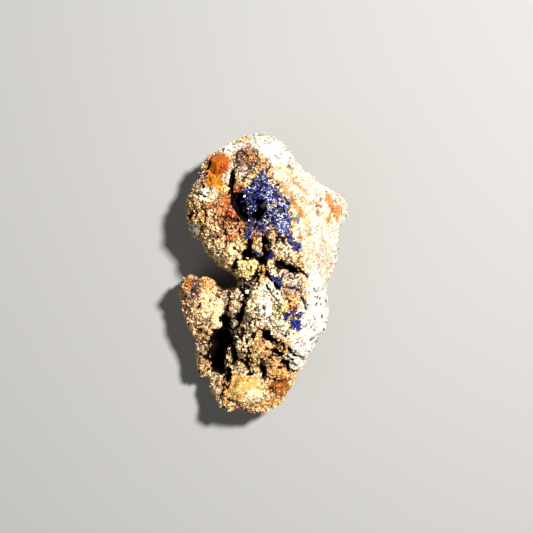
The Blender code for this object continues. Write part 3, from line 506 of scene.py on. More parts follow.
# The stains, and then what the relief is made of, at each point of the even mesh: swells,
# nodules and their grains, grit, pits, the pores of the leached side, cuts and fissures.
rock_points, rock_normals = mesh_arrays(rock.data)
rock_face = facing_up(rock_points, rock_normals, FACE_HEIGHTS)
rock_face *= 0.3 + 0.7 * smooth_step(rock_normals[:, 2], -0.1, 0.4)
rock_colour, rock_calm, rock_cream = rock_colours(rock_points, rock_face)
rough = 1.0 - rock_calm

swell = layered_noise(rock_points, ROCK_SWELL[0], 2, 1)
bent = rock_points + 1.1 * shifts(rock_points, 1.7, 1, 11)
nodule, nodule_next, _ = cell_noise(bent, ROCK_NODULE[0], 2)
bent = rock_points + 0.3 * shifts(rock_points, 0.8, 1, 14)
grain, grain_next, grain_label = cell_noise(bent, ROCK_GRAIN[0], 3)
grit = soft_noise(rock_points, ROCK_GRIT[0], 4)
hollow = layered_noise(rock_points, ROCK_PIT[0], 2, 5)
hole = smooth_step(hollow, 0.34, 0.62) * rough
# Painted shade in pits: a pit is painted dark all over on tan stone, and only at its bottom on
# cream stone.
pit_shade = hole + rock_cream * (0.7 * smooth_step(hollow, 0.56, 0.62) - hole)
pore, _, pore_label = cell_noise(rock_points, ROCK_PORE[0], 6)
rock_pitted = fade(from_centre(rock_points, FLANK_PITS), 0.8, 1.1)
rock_pitted = rock_cream * np.maximum(rock_pitted, 0.1)
pore = fade(pore, 0.10, 0.22) * (pore_label > 0.5) * rock_pitted
broken = smooth_step(layered_noise(rock_points, 3.0, 2, 21) + 2.2 * rock_face, 0.0, 0.5)
wall = fade(rock_normals[:, 2], 0.3, 0.7)
loose = shifts(rock_points, ROCK_WALL[0], 2, 89)
# The cuts are found again, as where shade is painted dark. The painted shade stays inside them
# and on level stone. On other walls it lies in broken patches, and not at all low on the stone.
cut_depth = carved(rock_points + 1.1 * wall[:, None] * loose)
inner = smooth_step(cut_depth, 4.0, 6.0) * smooth_step(rock_normals[:, 2], -0.5, -0.1)
cut_depth *= np.maximum(inner, facing_up(rock_points, rock_normals, CUT_HEIGHTS))
cut_depth *= np.maximum(np.maximum(inner, broken), smooth_step(rock_normals[:, 2], 0.2, 0.6))
fissure = fade(np.abs(layered_noise(bent, ROCK_FISSURE[0], 3, 19)), 0.01, 0.055)
fissure_here = smooth_step(layered_noise(rock_points, 6.0, 2, 20), -0.15, 0.15)
fissure *= fissure_here * rough * (1.0 - 0.7 * rock_cream)

relief = ROCK_SWELL[1] * swell
relief += ROCK_NODULE[1] * (0.45 - nodule) * (0.3 + 0.7 * rough)
relief += ROCK_GRAIN[1] * (0.45 - grain) * rough
relief += ROCK_GRIT[1] * grit * (0.3 + 0.7 * rough)
relief += ROCK_WALL[1] * rock_face * wall * loose[:, 0]
relief -= ROCK_PIT[1] * hole
relief -= ROCK_FISSURE[1] * fissure
relief -= ROCK_PORE[1] * pore
# The relief fades out near the floor, where the stone is drawn in a little instead.
off_floor = smooth_step(rock_points[:, 2], 0.2, 1.6)
relief = np.where(relief > 0, relief * off_floor, relief * (0.4 + 0.6 * off_floor))
relief -= 0.25 * (1.0 - off_floor) * (0.5 + 0.5 * soft_noise(rock_points, 7.0, 8))
rock_points = rock_points + relief[:, None] * rock_normals
box_low, box_high = np.array(cad_box) / MM
rock_points = np.clip(rock_points, box_low - [ROCK_ROOM[0], ROCK_ROOM[1], 0], box_high + ROCK_ROOM)
move_points(rock.data, rock_points)

# Painted shade: gaps between grains and between nodules, holes, pores, fissures and cuts are
# painted dark where shadow would fall.
crack = fade(grain_next - grain, 0.03, 0.24) * rough * (1.0 - 0.75 * rock_cream)
seam = fade(nodule_next - nodule, 0.03, 0.15) * rough * (1.0 - 0.85 * rock_cream)
seam *= smooth_step(layered_noise(rock_points, 3.0, 2, 18), -0.25, 0.15)
gap = np.clip(0.6 * crack + 0.9 * seam + 0.9 * pit_shade + 0.9 * pore + fissure, 0, 1)
gap = np.maximum(gap, smooth_step(cut_depth, 0.25, 0.85))
fleck = 1.0 + 0.5 * (grain_label - 0.5) * (0.3 + 0.7 * rough)
stone_tint = rock_colour
rock_colour = np.clip(rock_colour * fleck[:, None], 0, 1)
rock_colour = between(rock_colour, ROCK_DARK, gap)


def paint(mesh, colours):
    """Stores one colour for each vertex, which the materials read as tint."""
    layer = mesh.attributes.new("tint", "FLOAT_COLOR", "POINT")
    layer.data.foreach_set("color", np.column_stack([colours, np.ones(len(colours))]).ravel())


paint(rock.data, rock_colour)
for name, values in (("calm", np.maximum(rock_calm, 0.6 * rock_cream)), ("pitted", rock_pitted)):
    layer = rock.data.attributes.new(name, "FLOAT", "POINT")
    layer.data.foreach_set("value", values)
rock.data.shade_flat()

# What the specks are, from iron oxide to quartz, and how the hue turns from place to place.
SPECK_TINTS = [
    (0.0, (0.12, 0.07, 0.06)), (0.09, (0.42, 0.28, 0.21)), (0.22, (0.88, 0.80, 0.70)),
    (0.6, (1.1, 1.02, 0.88)), (0.82, (1.5, 1.5, 1.5)), (1.0, (2.3, 2.4, 2.6)),
]
HUE_TURNS = [
    (0.34, (1.18, 0.80, 0.66)), (0.46, (1.0, 0.98, 0.96)), (0.56, (1.0, 1.0, 1.0)),
    (0.68, (0.96, 1.02, 0.78)),
]


def new_material(name):
    """A material, its tree and its shader."""
    material = bpy.data.materials.new(name)
    material.use_nodes = True
    return material, material.node_tree, material.node_tree.nodes["Principled BSDF"]


def add_node(tree, kind, settings=None, inputs=None):
    """A shader node with its settings, and with its inputs, by name or number, given values or
    linked to other nodes' outputs."""
    made = tree.nodes.new(kind)
    for name, value in (settings or {}).items():
        setattr(made, name, value)
    for name, value in (inputs or {}).items():
        if isinstance(value, bpy.types.NodeSocket):
            tree.links.new(value, made.inputs[name])
        else:
            made.inputs[name].default_value = value
    return made


def ramp(tree, value, stops):
    """A colour ramp through (place, colour) stops, where a colour may be a single grey."""
    made = add_node(tree, "ShaderNodeValToRGB", inputs={"Fac": value})
    while len(made.color_ramp.elements) < len(stops):
        made.color_ramp.elements.new(0.5)
    for element, (place, colour) in zip(made.color_ramp.elements, stops):
        element.position = place
        element.color = (*colour, 1) if isinstance(colour, tuple) else (colour, colour, colour, 1)
    return made.outputs["Color"]


def mixed(tree, share, colour, other, way="MIX"):
    """A colour blended by a share into another, or changed by it in another way."""
    settings = {"data_type": "RGBA", "blend_type": way}
    return add_node(tree, "ShaderNodeMix", settings, {0: share, 6: colour, 7: other}).outputs[2]


def multiply(tree, colour, by, share=1.0):
    """A colour or a grey times another, by the share given."""
    return mixed(tree, share, colour, by, "MULTIPLY")


def arithmetic(tree, operation, *values):
    """The result of one operation on numbers or on other nodes' outputs."""
    made = add_node(tree, "ShaderNodeMath", {"operation": operation}, dict(enumerate(values)))
    return made.outputs[0]


def stored(tree, name, output="Fac"):
    """What the mesh stores under a name."""
    return add_node(tree, "ShaderNodeAttribute", {"attribute_name": name}).outputs[output]


def noise(tree, place, size, detail, roughness=0.5):
    """The outputs of a noise with features of a size in millimetres."""
    inputs = {"Vector": place, "Scale": 1.0 / (size * MM), "Detail": detail, "Roughness": roughness}
    return add_node(tree, "ShaderNodeTexNoise", inputs=inputs).outputs


def cells(tree, place, size, feature="F1"):
    """The outputs of a pattern of cells of a size in millimetres."""
    inputs = {"Vector": place, "Scale": 1.0 / (size * MM)}
    return add_node(tree, "ShaderNodeTexVoronoi", {"feature": feature}, inputs).outputs


def earthy(name, speck_size, roughness):
    """Gossan: the tint of each place, broken up by specks of unlike colour, by dust and by turns of
    hue, with painted shade in fine cracks and in leached pits, and dark veins and blots in its
    colour.
    Grit finer than the mesh is bump. Calm places keep their own colour."""
    material, tree, shader = new_material(name)
    place = add_node(tree, "ShaderNodeTexCoord").outputs["Object"]
    calm = stored(tree, "calm")
    specks = cells(tree, place, speck_size)
    chance = add_node(tree, "ShaderNodeSeparateColor", inputs={"Color": specks["Color"]})
    speck = ramp(tree, chance.outputs["Red"], SPECK_TINTS)
    share = arithmetic(tree, "MULTIPLY_ADD", calm, -0.8, 0.9)
    colour = multiply(tree, stored(tree, "tint", "Color"), speck, share)
    dust = noise(tree, place, size=1.5, detail=6.0, roughness=0.7)
    dust = ramp(tree, dust["Fac"], [(0.3, 0.5), (0.5, 1.0), (0.72, 1.35)])
    colour = multiply(tree, colour, dust, 0.7)
    hue = noise(tree, place, size=2.2, detail=3.0)
    colour = multiply(tree, colour, ramp(tree, hue["Fac"], HUE_TURNS), share)

    # Gaps: painted shade in pits on leached stone, and painted shade in cracks with dark veins and
    # blots wherever it is rough.
    shift = noise(tree, place, size=1.2, detail=3.0)
    bent = add_node(
        tree, "ShaderNodeVectorMath", {"operation": "MULTIPLY_ADD"},
        {0: shift["Color"], 1: (1.3 * MM,) * 3, 2: place},
    ).outputs[0]
    slant = {"Vector": bent, "Rotation": (0, 0, math.radians(-35)), "Scale": (1.0, 0.6, 1.0)}
    slant = add_node(tree, "ShaderNodeMapping", inputs=slant).outputs[0]
    pits = cells(tree, slant, size=2.0)
    pit = ramp(tree, pits["Distance"], [(0.2, 0.9), (0.28, 0.0)])
    pit = multiply(tree, pit, stored(tree, "pitted"))
    crack = cells(tree, bent, size=1.5, feature="DISTANCE_TO_EDGE")
    crack = ramp(tree, crack["Distance"], [(0.03, 1.0), (0.09, 0.0)])
    crack = multiply(tree, crack, ramp(tree, shift["Fac"], [(0.48, 0.0), (0.60, 1.0)]))
    vein = cells(tree, bent, size=4.2, feature="DISTANCE_TO_EDGE")
    vein = ramp(tree, vein["Distance"], [(0.02, 0.9), (0.05, 0.0)])
    vein_place = noise(tree, place, size=7.0, detail=2.0)
    vein = multiply(tree, vein, ramp(tree, vein_place["Fac"], [(0.50, 0.0), (0.58, 1.0)]))
    blot = noise(tree, place, size=1.4, detail=5.0, roughness=0.75)
    blot = ramp(tree, blot["Fac"], [(0.63, 0.0), (0.68, 1.0)])
    gap = arithmetic(tree, "MAXIMUM", blot, arithmetic(tree, "MAXIMUM", crack, vein))
    gap = multiply(tree, gap, ramp(tree, calm, [(0.0, 1.0), (0.5, 0.0)]))
    gap = arithmetic(tree, "MAXIMUM", pit, gap)
    colour = mixed(tree, gap, colour, (*ROCK_DARK, 1))

    # Fine grit as bump, and a faint sheen that the darkest places, the painted shade among them,
    # lack.
    fine = noise(tree, place, size=0.5, detail=4.0, roughness=0.7)
    height = arithmetic(tree, "MULTIPLY_ADD", specks["Distance"], -0.9, fine["Fac"])
    bump = {"Strength": 0.8, "Distance": 0.3 * MM, "Height": height}
    bump = add_node(tree, "ShaderNodeBump", inputs=bump)
    blue = add_node(tree, "ShaderNodeSeparateColor", inputs={"Color": colour}).outputs["Blue"]
    sheen = ramp(tree, blue, [(0.0, 0.0), (0.08, 0.25)])
    shader.inputs["Roughness"].default_value = roughness
    shader.inputs["Specular IOR Level"].default_value = 0.15
    tree.links.new(colour, shader.inputs["Base Color"])
    tree.links.new(sheen, shader.inputs["Specular IOR Level"])
    tree.links.new(bump.outputs["Normal"], shader.inputs["Normal"])
    return material


stone = earthy("gossan", speck_size=0.6, roughness=0.78)
rock.data.materials.clear()
rock.data.materials.append(stone)
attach(rock, "root")
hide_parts("matrix")


# ---------------------------------------------------------------------------------------------
# Grit: thousands of angular grains of quartz and iron oxide, from a third of a millimetre to a
# whole one across, that stand out of the gossan where acid water has eaten round them.

# The pieces: how many grains, their least and greatest radius, a seed, and whether they are on
# the crystal face or on the sides and back.
GRIT_PIECES = [
    ("grit_face_coarse", 2600, (0.26, 0.50), 21, True),
    ("grit_face_fine", 9500, (0.14, 0.30), 22, True),
    ("grit_sides", 6500, (0.18, 0.40), 23, False),
]
# The colours that grains are shifted towards, each when the draw lies between its own number
# and the next. Below the first, a grain keeps the stone's colour.
GRIT_TINTS = [
    (0.60, (0.94, 0.90, 0.80)), (0.74, (0.80, 0.60, 0.30)), (0.82, (0.74, 0.38, 0.12)),
    (0.88, (0.40, 0.20, 0.10)), (0.93, (0.10, 0.06, 0.04)), (1.0, (1, 1, 1)),
]
GOLDEN = (1.0 + 5.0**0.5) / 2.0


def mesh_object(name, points, faces):
    """A mesh object of points in millimetres and triangles, filled in whole arrays."""
    mesh = bpy.data.meshes.new(name)
    mesh.vertices.add(len(points))
    mesh.vertices.foreach_set("co", (points * MM).astype(np.float32).ravel())
    mesh.loops.add(3 * len(faces))
    mesh.loops.foreach_set("vertex_index", faces.astype(np.int32).ravel())
    mesh.polygons.add(len(faces))
    mesh.polygons.foreach_set("loop_start", np.arange(0, 3 * len(faces), 3, dtype=np.int32))
    mesh.update(calc_edges=True)
    mesh.shade_flat()
    obj = bpy.data.objects.new(name, mesh)
    bpy.context.scene.collection.objects.link(obj)
    return obj


def twenty_faces():
    """A regular icosahedron of radius 1: three golden rectangles' corners, and the triples of
    corners one edge apart, turned to face outwards."""
    a, b = np.array([1.0, GOLDEN]) / math.hypot(1.0, GOLDEN)
    signs = [(i, j) for i in (-1, 1) for j in (-1, 1)]
    points = np.array([(0, i * a, j * b) for i, j in signs] + [(i * a, j * b, 0) for i, j in signs]
                      + [(i * b, 0, j * a) for i, j in signs])
    near = np.linalg.norm(points[:, None] - points[None], axis=2) < 2.2 * a
    faces = [(i, j, k) for i in range(12) for j in range(i + 1, 12) for k in range(j + 1, 12)
             if near[i, j] and near[j, k] and near[i, k]]
    faces = [f if np.linalg.det(points[list(f)]) > 0 else (f[0], f[2], f[1]) for f in faces]
    return points, np.array(faces)


def random_turns(chance, count):
    """Random rotation matrices, from random unit quaternions."""
    w, x, y, z = chance.normal(size=(4, count))
    size = np.sqrt(w * w + x * x + y * y + z * z)
    w, x, y, z = w / size, x / size, y / size, z / size
    return np.array([
        [1 - 2 * (y * y + z * z), 2 * (x * y - z * w), 2 * (x * z + y * w)],
        [2 * (x * y + z * w), 1 - 2 * (x * x + z * z), 2 * (y * z - x * w)],
        [2 * (x * z - y * w), 2 * (y * z + x * w), 1 - 2 * (x * x + y * y)],
    ]).transpose(2, 0, 1)


def grain_mesh(name, chance, shapes, radius, centres):
    """One mesh of grains, each a shape of radius 1 that is turned at random and set in place."""
    turned = shapes @ random_turns(chance, len(radius))
    points = turned * radius[:, None, None] + centres[:, None]
    steps = len(ball) * np.arange(len(radius))[:, None, None]
    return mesh_object(name, points.reshape(-1, 3), (ball_faces + steps).reshape(-1, 3))


def scattered(name, count, radii, seed, where):
    """Angular grains on the rock: each a turned, stretched and dented icosahedron, sunk by about
    a third at a vertex of the rock chosen with the chance that where gives it."""
    chance = np.random.default_rng(seed)
    at = chance.choice(len(rock_points), count, replace=False, p=where / where.sum())
    radius = chance.uniform(*radii, count) * chance.uniform(0.8, 1.2, count)
    stretch = chance.uniform(0.5, 1.35, (count, 1, 3))
    dents = chance.uniform(0.62, 1.15, (count, len(ball), 1))
    centres = rock_points[at] + rock_normals[at] * (0.25 * radius)[:, None]
    centres[:, 2] = np.maximum(centres[:, 2], 1.3 * radius)
    obj = grain_mesh(name, chance, ball * stretch * dents, radius, centres)
    pick = chance.uniform(size=count) * (1.0 - 0.25 * rock_cream[at] - 0.3 * rock_calm[at])
    tint = stone_tint[at] * chance.uniform(0.85, 1.25, (count, 1))
    for (start, colour), (end, _) in zip(GRIT_TINTS, GRIT_TINTS[1:]):
        chosen = ((pick > start) & (pick <= end))[:, None]
        tint = np.where(chosen, 0.6 * tint + 0.4 * np.array(colour), tint)
    paint(obj.data, np.repeat(np.clip(tint, 0, 1), len(ball), axis=0))
    return obj


ball, ball_faces = twenty_faces()
grit_stone = earthy("grit", speck_size=0.35, roughness=0.6)
clear = (1.0 - gap) ** 2 * np.clip(rough - 0.3, 0, 1) * (1.0 - 0.9 * rock_cream)
patchy = 0.15 + smooth_step(layered_noise(rock_points, 3.4, 2, 24), -0.2, 0.3)
raised = smooth_step(rock_points[:, 2], 0.8, 2.0)
for name, count, radii, seed, on_face in GRIT_PIECES:
    side = rock_face if on_face else 1.0 - rock_face
    piece = scattered(name, count, radii, seed, side * clear * patchy * raised)
    piece.data.materials.append(grit_stone)
    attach(piece, "root")


# ---------------------------------------------------------------------------------------------
# The azurite crust: a druse of small deep blue tablets that lines the hollow in the crystal
# face. They stand every way on a floor of finer crystals, round a void that is left open and
# painted black as its shade.

CRUST_VOXEL = 0.3
# The crops of tablets, how many there are and how long they mostly are; how many flecks; how
# much paler a tablet's edge is painted, as a highlight; and how far tips may pass the top of
# the imported box.
CRUST_CROPS = [("crust_fine", 2150, 0.66), ("crust_coarse", 460, 1.45)]
CRUST_FLECKS = 950
CRUST_EDGE_HIGHLIGHT = 0.33
CRUST_ROOM = 0.2
# The void and the gap below it: half-width, and the points of each in plan.
CRUST_VOIDS = [
    (1.7, [(-7.4, 22.4), (-7.0, 19.8), (-5.6, 17.9), (-3, 17.6), (-1.0, 18.4), (-0.9, 22.4)]),
    (0.8, [(-3.2, 17.2), (-3.0, 14.2)]),
]
# Where tablets root on the rock too and how likely it is there, where the crust is thin and
# darkened with painted shade, and where it is paled as a painted highlight: centre, radii and
# turn in plan.
CRUST_FOOT = (-1.5, 14.3, 4.3, 2.6, 0)
CRUST_FOOT_SHARE = 1.6
CRUST_SHADE = (-2.6, 17.6, 4.8, 5.6, 0)
CRUST_PALE = (1.4, 24.2, 1.5, 2.4, 15)
AZURITE_DEEP = (0.003, 0.003, 0.065)
AZURITE_BRIGHT = (0.005, 0.012, 0.50)
AZURITE_PALE = (0.06, 0.12, 0.55)
AZURITE_GREY = (0.30, 0.32, 0.34)
AZURITE_DUST = (0.22, 0.22, 0.36)
# The pale colour painted along tablets' edges as a highlight.
AZURITE_EDGE_HIGHLIGHT = (0.17, 0.19, 0.36)
# A tablet's outline from root to tip: how far along, and its half-width there.
TABLET_PLAN = [(0.0, 0.45), (0.25, 0.95), (0.68, 1.0), (1.0, 0.12)]
TABLET_BEVEL = 0.72


def unit(vectors):
    """Vectors brought to length 1."""
    return vectors / np.linalg.norm(vectors, axis=-1, keepdims=True)


def tablet_arrays(roots, along, facing, length, width, thick):
    """Flat crystals, each a closed shell of three rings: the outline at mid-thickness, and the
    same outline drawn in by the bevel on both broad faces, which are fanned shut."""
    plan = np.array(TABLET_PLAN + [(place, -half) for place, half in reversed(TABLET_PLAN)])
    corners = len(plan)
    middle = np.array([0.55, 0.0])
    rings = []
    for level, share in ((-0.5, TABLET_BEVEL), (0.0, 1.0), (0.5, TABLET_BEVEL)):
        ring = middle + (plan - middle) * share
        rings.append(np.column_stack([ring, np.full(corners, level)]))
    shape = np.concatenate(rings)
    across = unit(np.cross(facing, along))
    face = np.cross(along, across)
    points = (
        roots[:, None]
        + along[:, None] * (shape[:, 0] * length[:, None])[:, :, None]
        + across[:, None] * (shape[:, 1] * 0.5 * width[:, None])[:, :, None]
        + face[:, None] * (shape[:, 2] * thick[:, None])[:, :, None]
    )
    faces = []
    for low in (0, corners):
        for i in range(corners):
            j = (i + 1) % corners
            high = low + corners
            faces += [(low + i, high + j, low + j), (low + i, high + i, high + j)]
    for i in range(1, corners - 1):
        faces += [(0, i, i + 1), (2 * corners, 2 * corners + i + 1, 2 * corners + i)]
    steps = 3 * corners * np.arange(len(roots))[:, None, None]
    return points.reshape(-1, 3), (np.array(faces) + steps).reshape(-1, 3), 3 * corners


def azurite_material():
    """Azurite: deep blue and glassy where it is clean, clouded and dusted with pale powder, with
    fine growth lines across the faces as bump. The black painted as shade in the void has no gloss."""
    material, tree, shader = new_material("azurite")
    place = add_node(tree, "ShaderNodeTexCoord").outputs["Object"]
    tint = stored(tree, "tint", "Color")
    cloud = noise(tree, place, size=0.7, detail=4.0, roughness=0.65)
    cloud = ramp(tree, cloud["Fac"], [(0.3, 0.45), (0.5, 1.0), (0.75, 1.7)])
    powder = noise(tree, place, size=0.4, detail=3.0, roughness=0.7)
    powder = ramp(tree, powder["Fac"], [(0.60, 0.0), (0.72, 0.4)])
    colour = mixed(tree, powder, multiply(tree, tint, cloud, 0.9), (*AZURITE_DUST, 1))
    lines = {"Vector": place, "Scale": 1.0 / (0.9 * MM), "Distortion": 14.0, "Detail": 4.0}
    lines = add_node(tree, "ShaderNodeTexWave", inputs=lines).outputs["Fac"]
    bump = {"Strength": 0.2, "Distance": 0.02 * MM, "Height": lines}
    bump = add_node(tree, "ShaderNodeBump", inputs=bump)
    gloss = ramp(tree, tint, [(0.0012, 0.0), (0.006, 0.35)])
    shader.inputs["Roughness"].default_value = 0.2
    shader.inputs["IOR"].default_value = 1.76
    shader.inputs["Specular IOR Level"].default_value = 0.35
    shader.inputs["Coat Weight"].default_value = 0.1
    shader.inputs["Coat Roughness"].default_value = 0.08
    tree.links.new(colour, shader.inputs["Base Color"])
    tree.links.new(gloss, shader.inputs["Specular IOR Level"])
    tree.links.new(multiply(tree, gloss, (0.4, 0.4, 0.4, 1)), shader.inputs["Coat Weight"])
    tree.links.new(bump.outputs["Normal"], shader.inputs["Normal"])
    return material


def within(points, patch):
    """1 in the middle of a turned ellipse, and eased to 0 a little beyond its rim."""
    return fade(from_centre(points, patch), 0.6, 1.2)


azurite = azurite_material()
crust_floor = fine_copy("azurite_druse", "crust_floor", CRUST_VOXEL)
crust_points, crust_normals = mesh_arrays(crust_floor.data)
void = np.zeros(len(crust_points))
for reach, line in CRUST_VOIDS:
    edge = from_line(crust_points, line) / reach + 0.25 * layered_noise(crust_points, 1.6, 2, 91)
    void = np.maximum(void, fade(edge, 0.75, 1.1))
tiny, _, tiny_label = cell_noise(crust_points, 0.7, 92)
crust_points += (0.3 * (0.4 - tiny) - 0.35)[:, None] * crust_normals
crust_low = crust_points[:, 2].min()
drop = (crust_points[:, 2] - crust_low - 0.4) * void * 0.9
crust_points[:, 2] -= np.maximum(drop, 0.0)
crust_tint = between(AZURITE_DEEP, AZURITE_BRIGHT, 0.15 * tiny_label)
# The void is painted nearly black: painted shade in the hollow.
crust_tint *= (1.0 - 0.95 * void)[:, None]
move_points(crust_floor.data, crust_points)
paint(crust_floor.data, crust_tint)
crust_floor.data.materials.clear()
crust_floor.data.materials.append(azurite)
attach(crust_floor, "root")
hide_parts("azurite_druse")


def azurite_tints(chance, count, depth, pale, grey):
    """Deep to bright blue, the more of them deep the higher depth is, with shares of sky-blue
    and of grey coated ones."""
    tint = between(AZURITE_DEEP, AZURITE_BRIGHT, chance.uniform(size=count) ** depth)
    tint = np.where(chance.uniform(size=(count, 1)) < pale, AZURITE_PALE, tint)
    return np.where(chance.uniform(size=(count, 1)) < grey, AZURITE_GREY, tint)


def azurite_piece(name, node, edge, points, faces, tints, each):
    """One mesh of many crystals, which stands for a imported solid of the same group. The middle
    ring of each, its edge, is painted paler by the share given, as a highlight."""
    piece = mesh_object(name, points, faces)
    rims = np.repeat(tints, each, axis=0).reshape(-1, 3, each // 3, 3)
    # The edge ring is painted paler: a painted highlight.
    rims[:, 1] += edge * (np.array(AZURITE_EDGE_HIGHLIGHT) - rims[:, 1])
    paint(piece.data, rims.reshape(-1, 3))
    piece.data.materials.append(azurite)
    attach(piece, "root")
    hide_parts(node)


def crust_tablets(chance, count, sizes, where):
    """Tablets rooted on the crust's floor, and on the rock at its foot, where the chances say,
    leaning every way out of it."""
    seats = chance.choice(len(seat_points), count, replace=False, p=where / where.sum())
    roots = seat_points[seats] - 0.25 * seat_normals[seats]
    along = unit(0.7 * seat_normals[seats] + [0, 0, 0.2] + 0.75 * chance.normal(size=(count, 3)))
    facing = unit(np.cross(along, unit(chance.normal(size=(count, 3)))))
    length = chance.gamma(4.0, sizes / 4.0, count).clip(0.5 * sizes, 1.8 * sizes)
    width = length * chance.uniform(0.22, 0.6, count)
    thick = width * chance.uniform(0.2, 0.42, count)
    points, faces, each = tablet_arrays(roots, along, facing, length, width, thick)
    points[:, 2] = np.minimum(points[:, 2], box_high[2] + CRUST_ROOM)
    tints = azurite_tints(chance, count, depth=2.6, pale=0.06, grey=0.10)
    # Painted shade: darker in the shade patch and towards the left, away from the key light; paler
    # in the pale patch as a painted highlight.
    tints *= (1.0 - 0.68 * within(roots, CRUST_SHADE))[:, None]
    tints *= 0.6 + 0.4 * smooth_step(roots[:, :1], -2.0, 2.0)
    tints = between(tints, AZURITE_PALE, 0.45 * within(roots, CRUST_PALE))
    return points, faces, tints, each


# The seats: the crust's floor where it faces up and isn't void, and the rock at its foot.
chance = np.random.default_rng(31)
upward = smooth_step(crust_normals[:, 2], -0.1, 0.5) * (1.0 - 0.97 * void)
upward *= 1.0 - 0.4 * within(crust_points, CRUST_SHADE)
at_foot = (from_centre(rock_points, CRUST_FOOT) < 1.0) & (rock_normals[:, 2] > 0.2)
seat_points = np.concatenate([crust_points, rock_points[at_foot]])
seat_normals = np.concatenate([crust_normals, rock_normals[at_foot]])
seat_chances = np.concatenate([upward, np.full(at_foot.sum(), CRUST_FOOT_SHARE)])
for name, count, sizes in CRUST_CROPS:
    tablets = crust_tablets(chance, count, sizes, seat_chances)
    azurite_piece(name, "azurite_druse", CRUST_EDGE_HIGHLIGHT, *tablets)

# Flecks of pale stone and powder on the crust, most of them on its right where the light falls,
# so that there they also stand for painted highlights.
lit = upward * (0.25 + smooth_step(crust_points[:, 0], -2.0, 4.0))
at = chance.choice(len(crust_points), CRUST_FLECKS, replace=False, p=lit / lit.sum())
radius = chance.uniform(0.10, 0.24, CRUST_FLECKS)
shapes = ball * chance.uniform(0.5, 1.3, (CRUST_FLECKS, 1, 3))
centres = crust_points[at] + 0.35 * crust_normals[at]
crust_flecks = grain_mesh("crust_flecks", chance, shapes, radius, centres)
pale_tint = chance.uniform(0.55, 0.95, (CRUST_FLECKS, 1)) * [1.0, 0.97, 0.9]
paint(crust_flecks.data, np.repeat(pale_tint, len(ball), axis=0))
crust_flecks.data.materials.append(grit_stone)
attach(crust_flecks, "root")


# ---------------------------------------------------------------------------------------------
# Azurite outside the crust: a trail of small rosettes that leads off it, single blades lying in
# cracks of the gossan, and two sprays low on the crystal face, all grown on the rock.

# For each packed group: how pale its edges are painted, as a highlight; its blades, each from
# root to tip in plan, and how wide it is; the middle and reach of each patch of small crystals;
# and how many of those.
SPRIGS = {
    "azurite_trail": (
        0.45,
        [(9.8, 8.0, 11.2, 6.6, 0.8), (10.0, 8.4, 8.4, 7.6, 0.7), (10.0, 8.2, 10.8, 9.8, 0.8),
         (9.4, 8.0, 9.0, 6.6, 0.7), (8.4, 10.4, 7.2, 12.0, 0.7), (10.2, 8.0, 11.8, 8.2, 0.7),
         (7.6, 12.6, 7.0, 14.2, 0.7), (8.8, 10.6, 8.0, 12.2, 0.6)],
        [(9.9, 8.2, 1.3), (8.6, 10.4, 1.0), (7.6, 12.6, 1.2)], 90,
    ),
    "azurite_left_blade": (
        0.7,
        [(-5.7, 10.4, -3.2, 13.6, 1.1), (-5.9, 11.4, -4.6, 13.4, 0.7)],
        [(-3.6, 13.2, 0.6)], 6,
    ),
    "azurite_crevice_cluster": (
        0.1,
        [(1.8, 5.6, 3.2, 6.8, 1.3), (1.7, 5.8, 0.5, 6.9, 1.2), (1.8, 5.6, 2.6, 4.4, 1.1),
         (1.8, 5.8, 0.7, 4.8, 1.0)],
        [(1.8, 5.8, 1.1)], 36,
    ),
    "azurite_crevice_blade": (0.15, [(-3.0, 7.4, -0.6, 5.3, 0.8)], [(-1.8, 6.3, 0.4)], 2),
    "azurite_long_blade": (
        0.1,
        [(2.0, 0.4, 5.7, -4.2, 1.0), (2.2, -0.5, 4.2, -3.0, 0.8)],
        [(5.2, -3.4, 0.3)], 2,
    ),
    "azurite_crossed_blades": (
        0.1,
        [(5.0, -2.6, 6.4, 0.5, 0.7), (4.9, -2.5, 7.5, -1.6, 0.5)],
        [(5.2, -2.3, 0.4)], 3,
    ),
    "azurite_small_blade": (
        0.1,
        [(7.2, -4.2, 10.7, -4.1, 0.8), (8.6, -4.4, 10.0, -3.8, 0.6)],
        [(9.4, -4.2, 0.4)], 2,
    ),
    "azurite_lower_spray": (
        0.2,
        [(6.3, -14.0, 9.6, -11.3, 1.1), (8.4, -12.2, 10.2, -10.8, 0.7),
         (10.4, -12.6, 11.4, -13.8, 0.5)],
        [(9.8, -11.4, 0.9), (11.6, -12.6, 1.0)], 30,
    ),
    "azurite_lower_cluster": (
        0.2,
        [(9.9, -15.8, 8.1, -14.2, 1.1), (10.0, -15.8, 11.8, -15.0, 1.3),
         (10.2, -16.0, 10.9, -17.8, 1.2), (10.2, -15.8, 9.4, -17.2, 1.0),
         (10.4, -15.6, 11.6, -16.8, 1.1)],
        [(10.2, -15.9, 1.5)], 80,
    ),
}
# How thick all are for their width; how deep the blades' roots and how high their tips lie in
# the rock, which way they face and how bright a blue they reach; and the same for the fringe of
# small crystals round them.
SPRIG_THICK = 0.4
BLADE_SUNK = 0.35
BLADE_RAISED = 0.35
BLADE_FACING = (-0.4, 0.3, 1.0)
BLADE_BRIGHTEST = 0.2
FRINGE_SIZE = 0.75
FRINGE_SUNK = 0.15
FRINGE_BRIGHTEST = 0.75


def rock_top(x, y):
    """The highest rock within a small circle round a place in plan."""
    near = np.hypot(rock_points[:, 0] - x, rock_points[:, 1] - y) < 0.45
    return rock_points[near, 2].max()


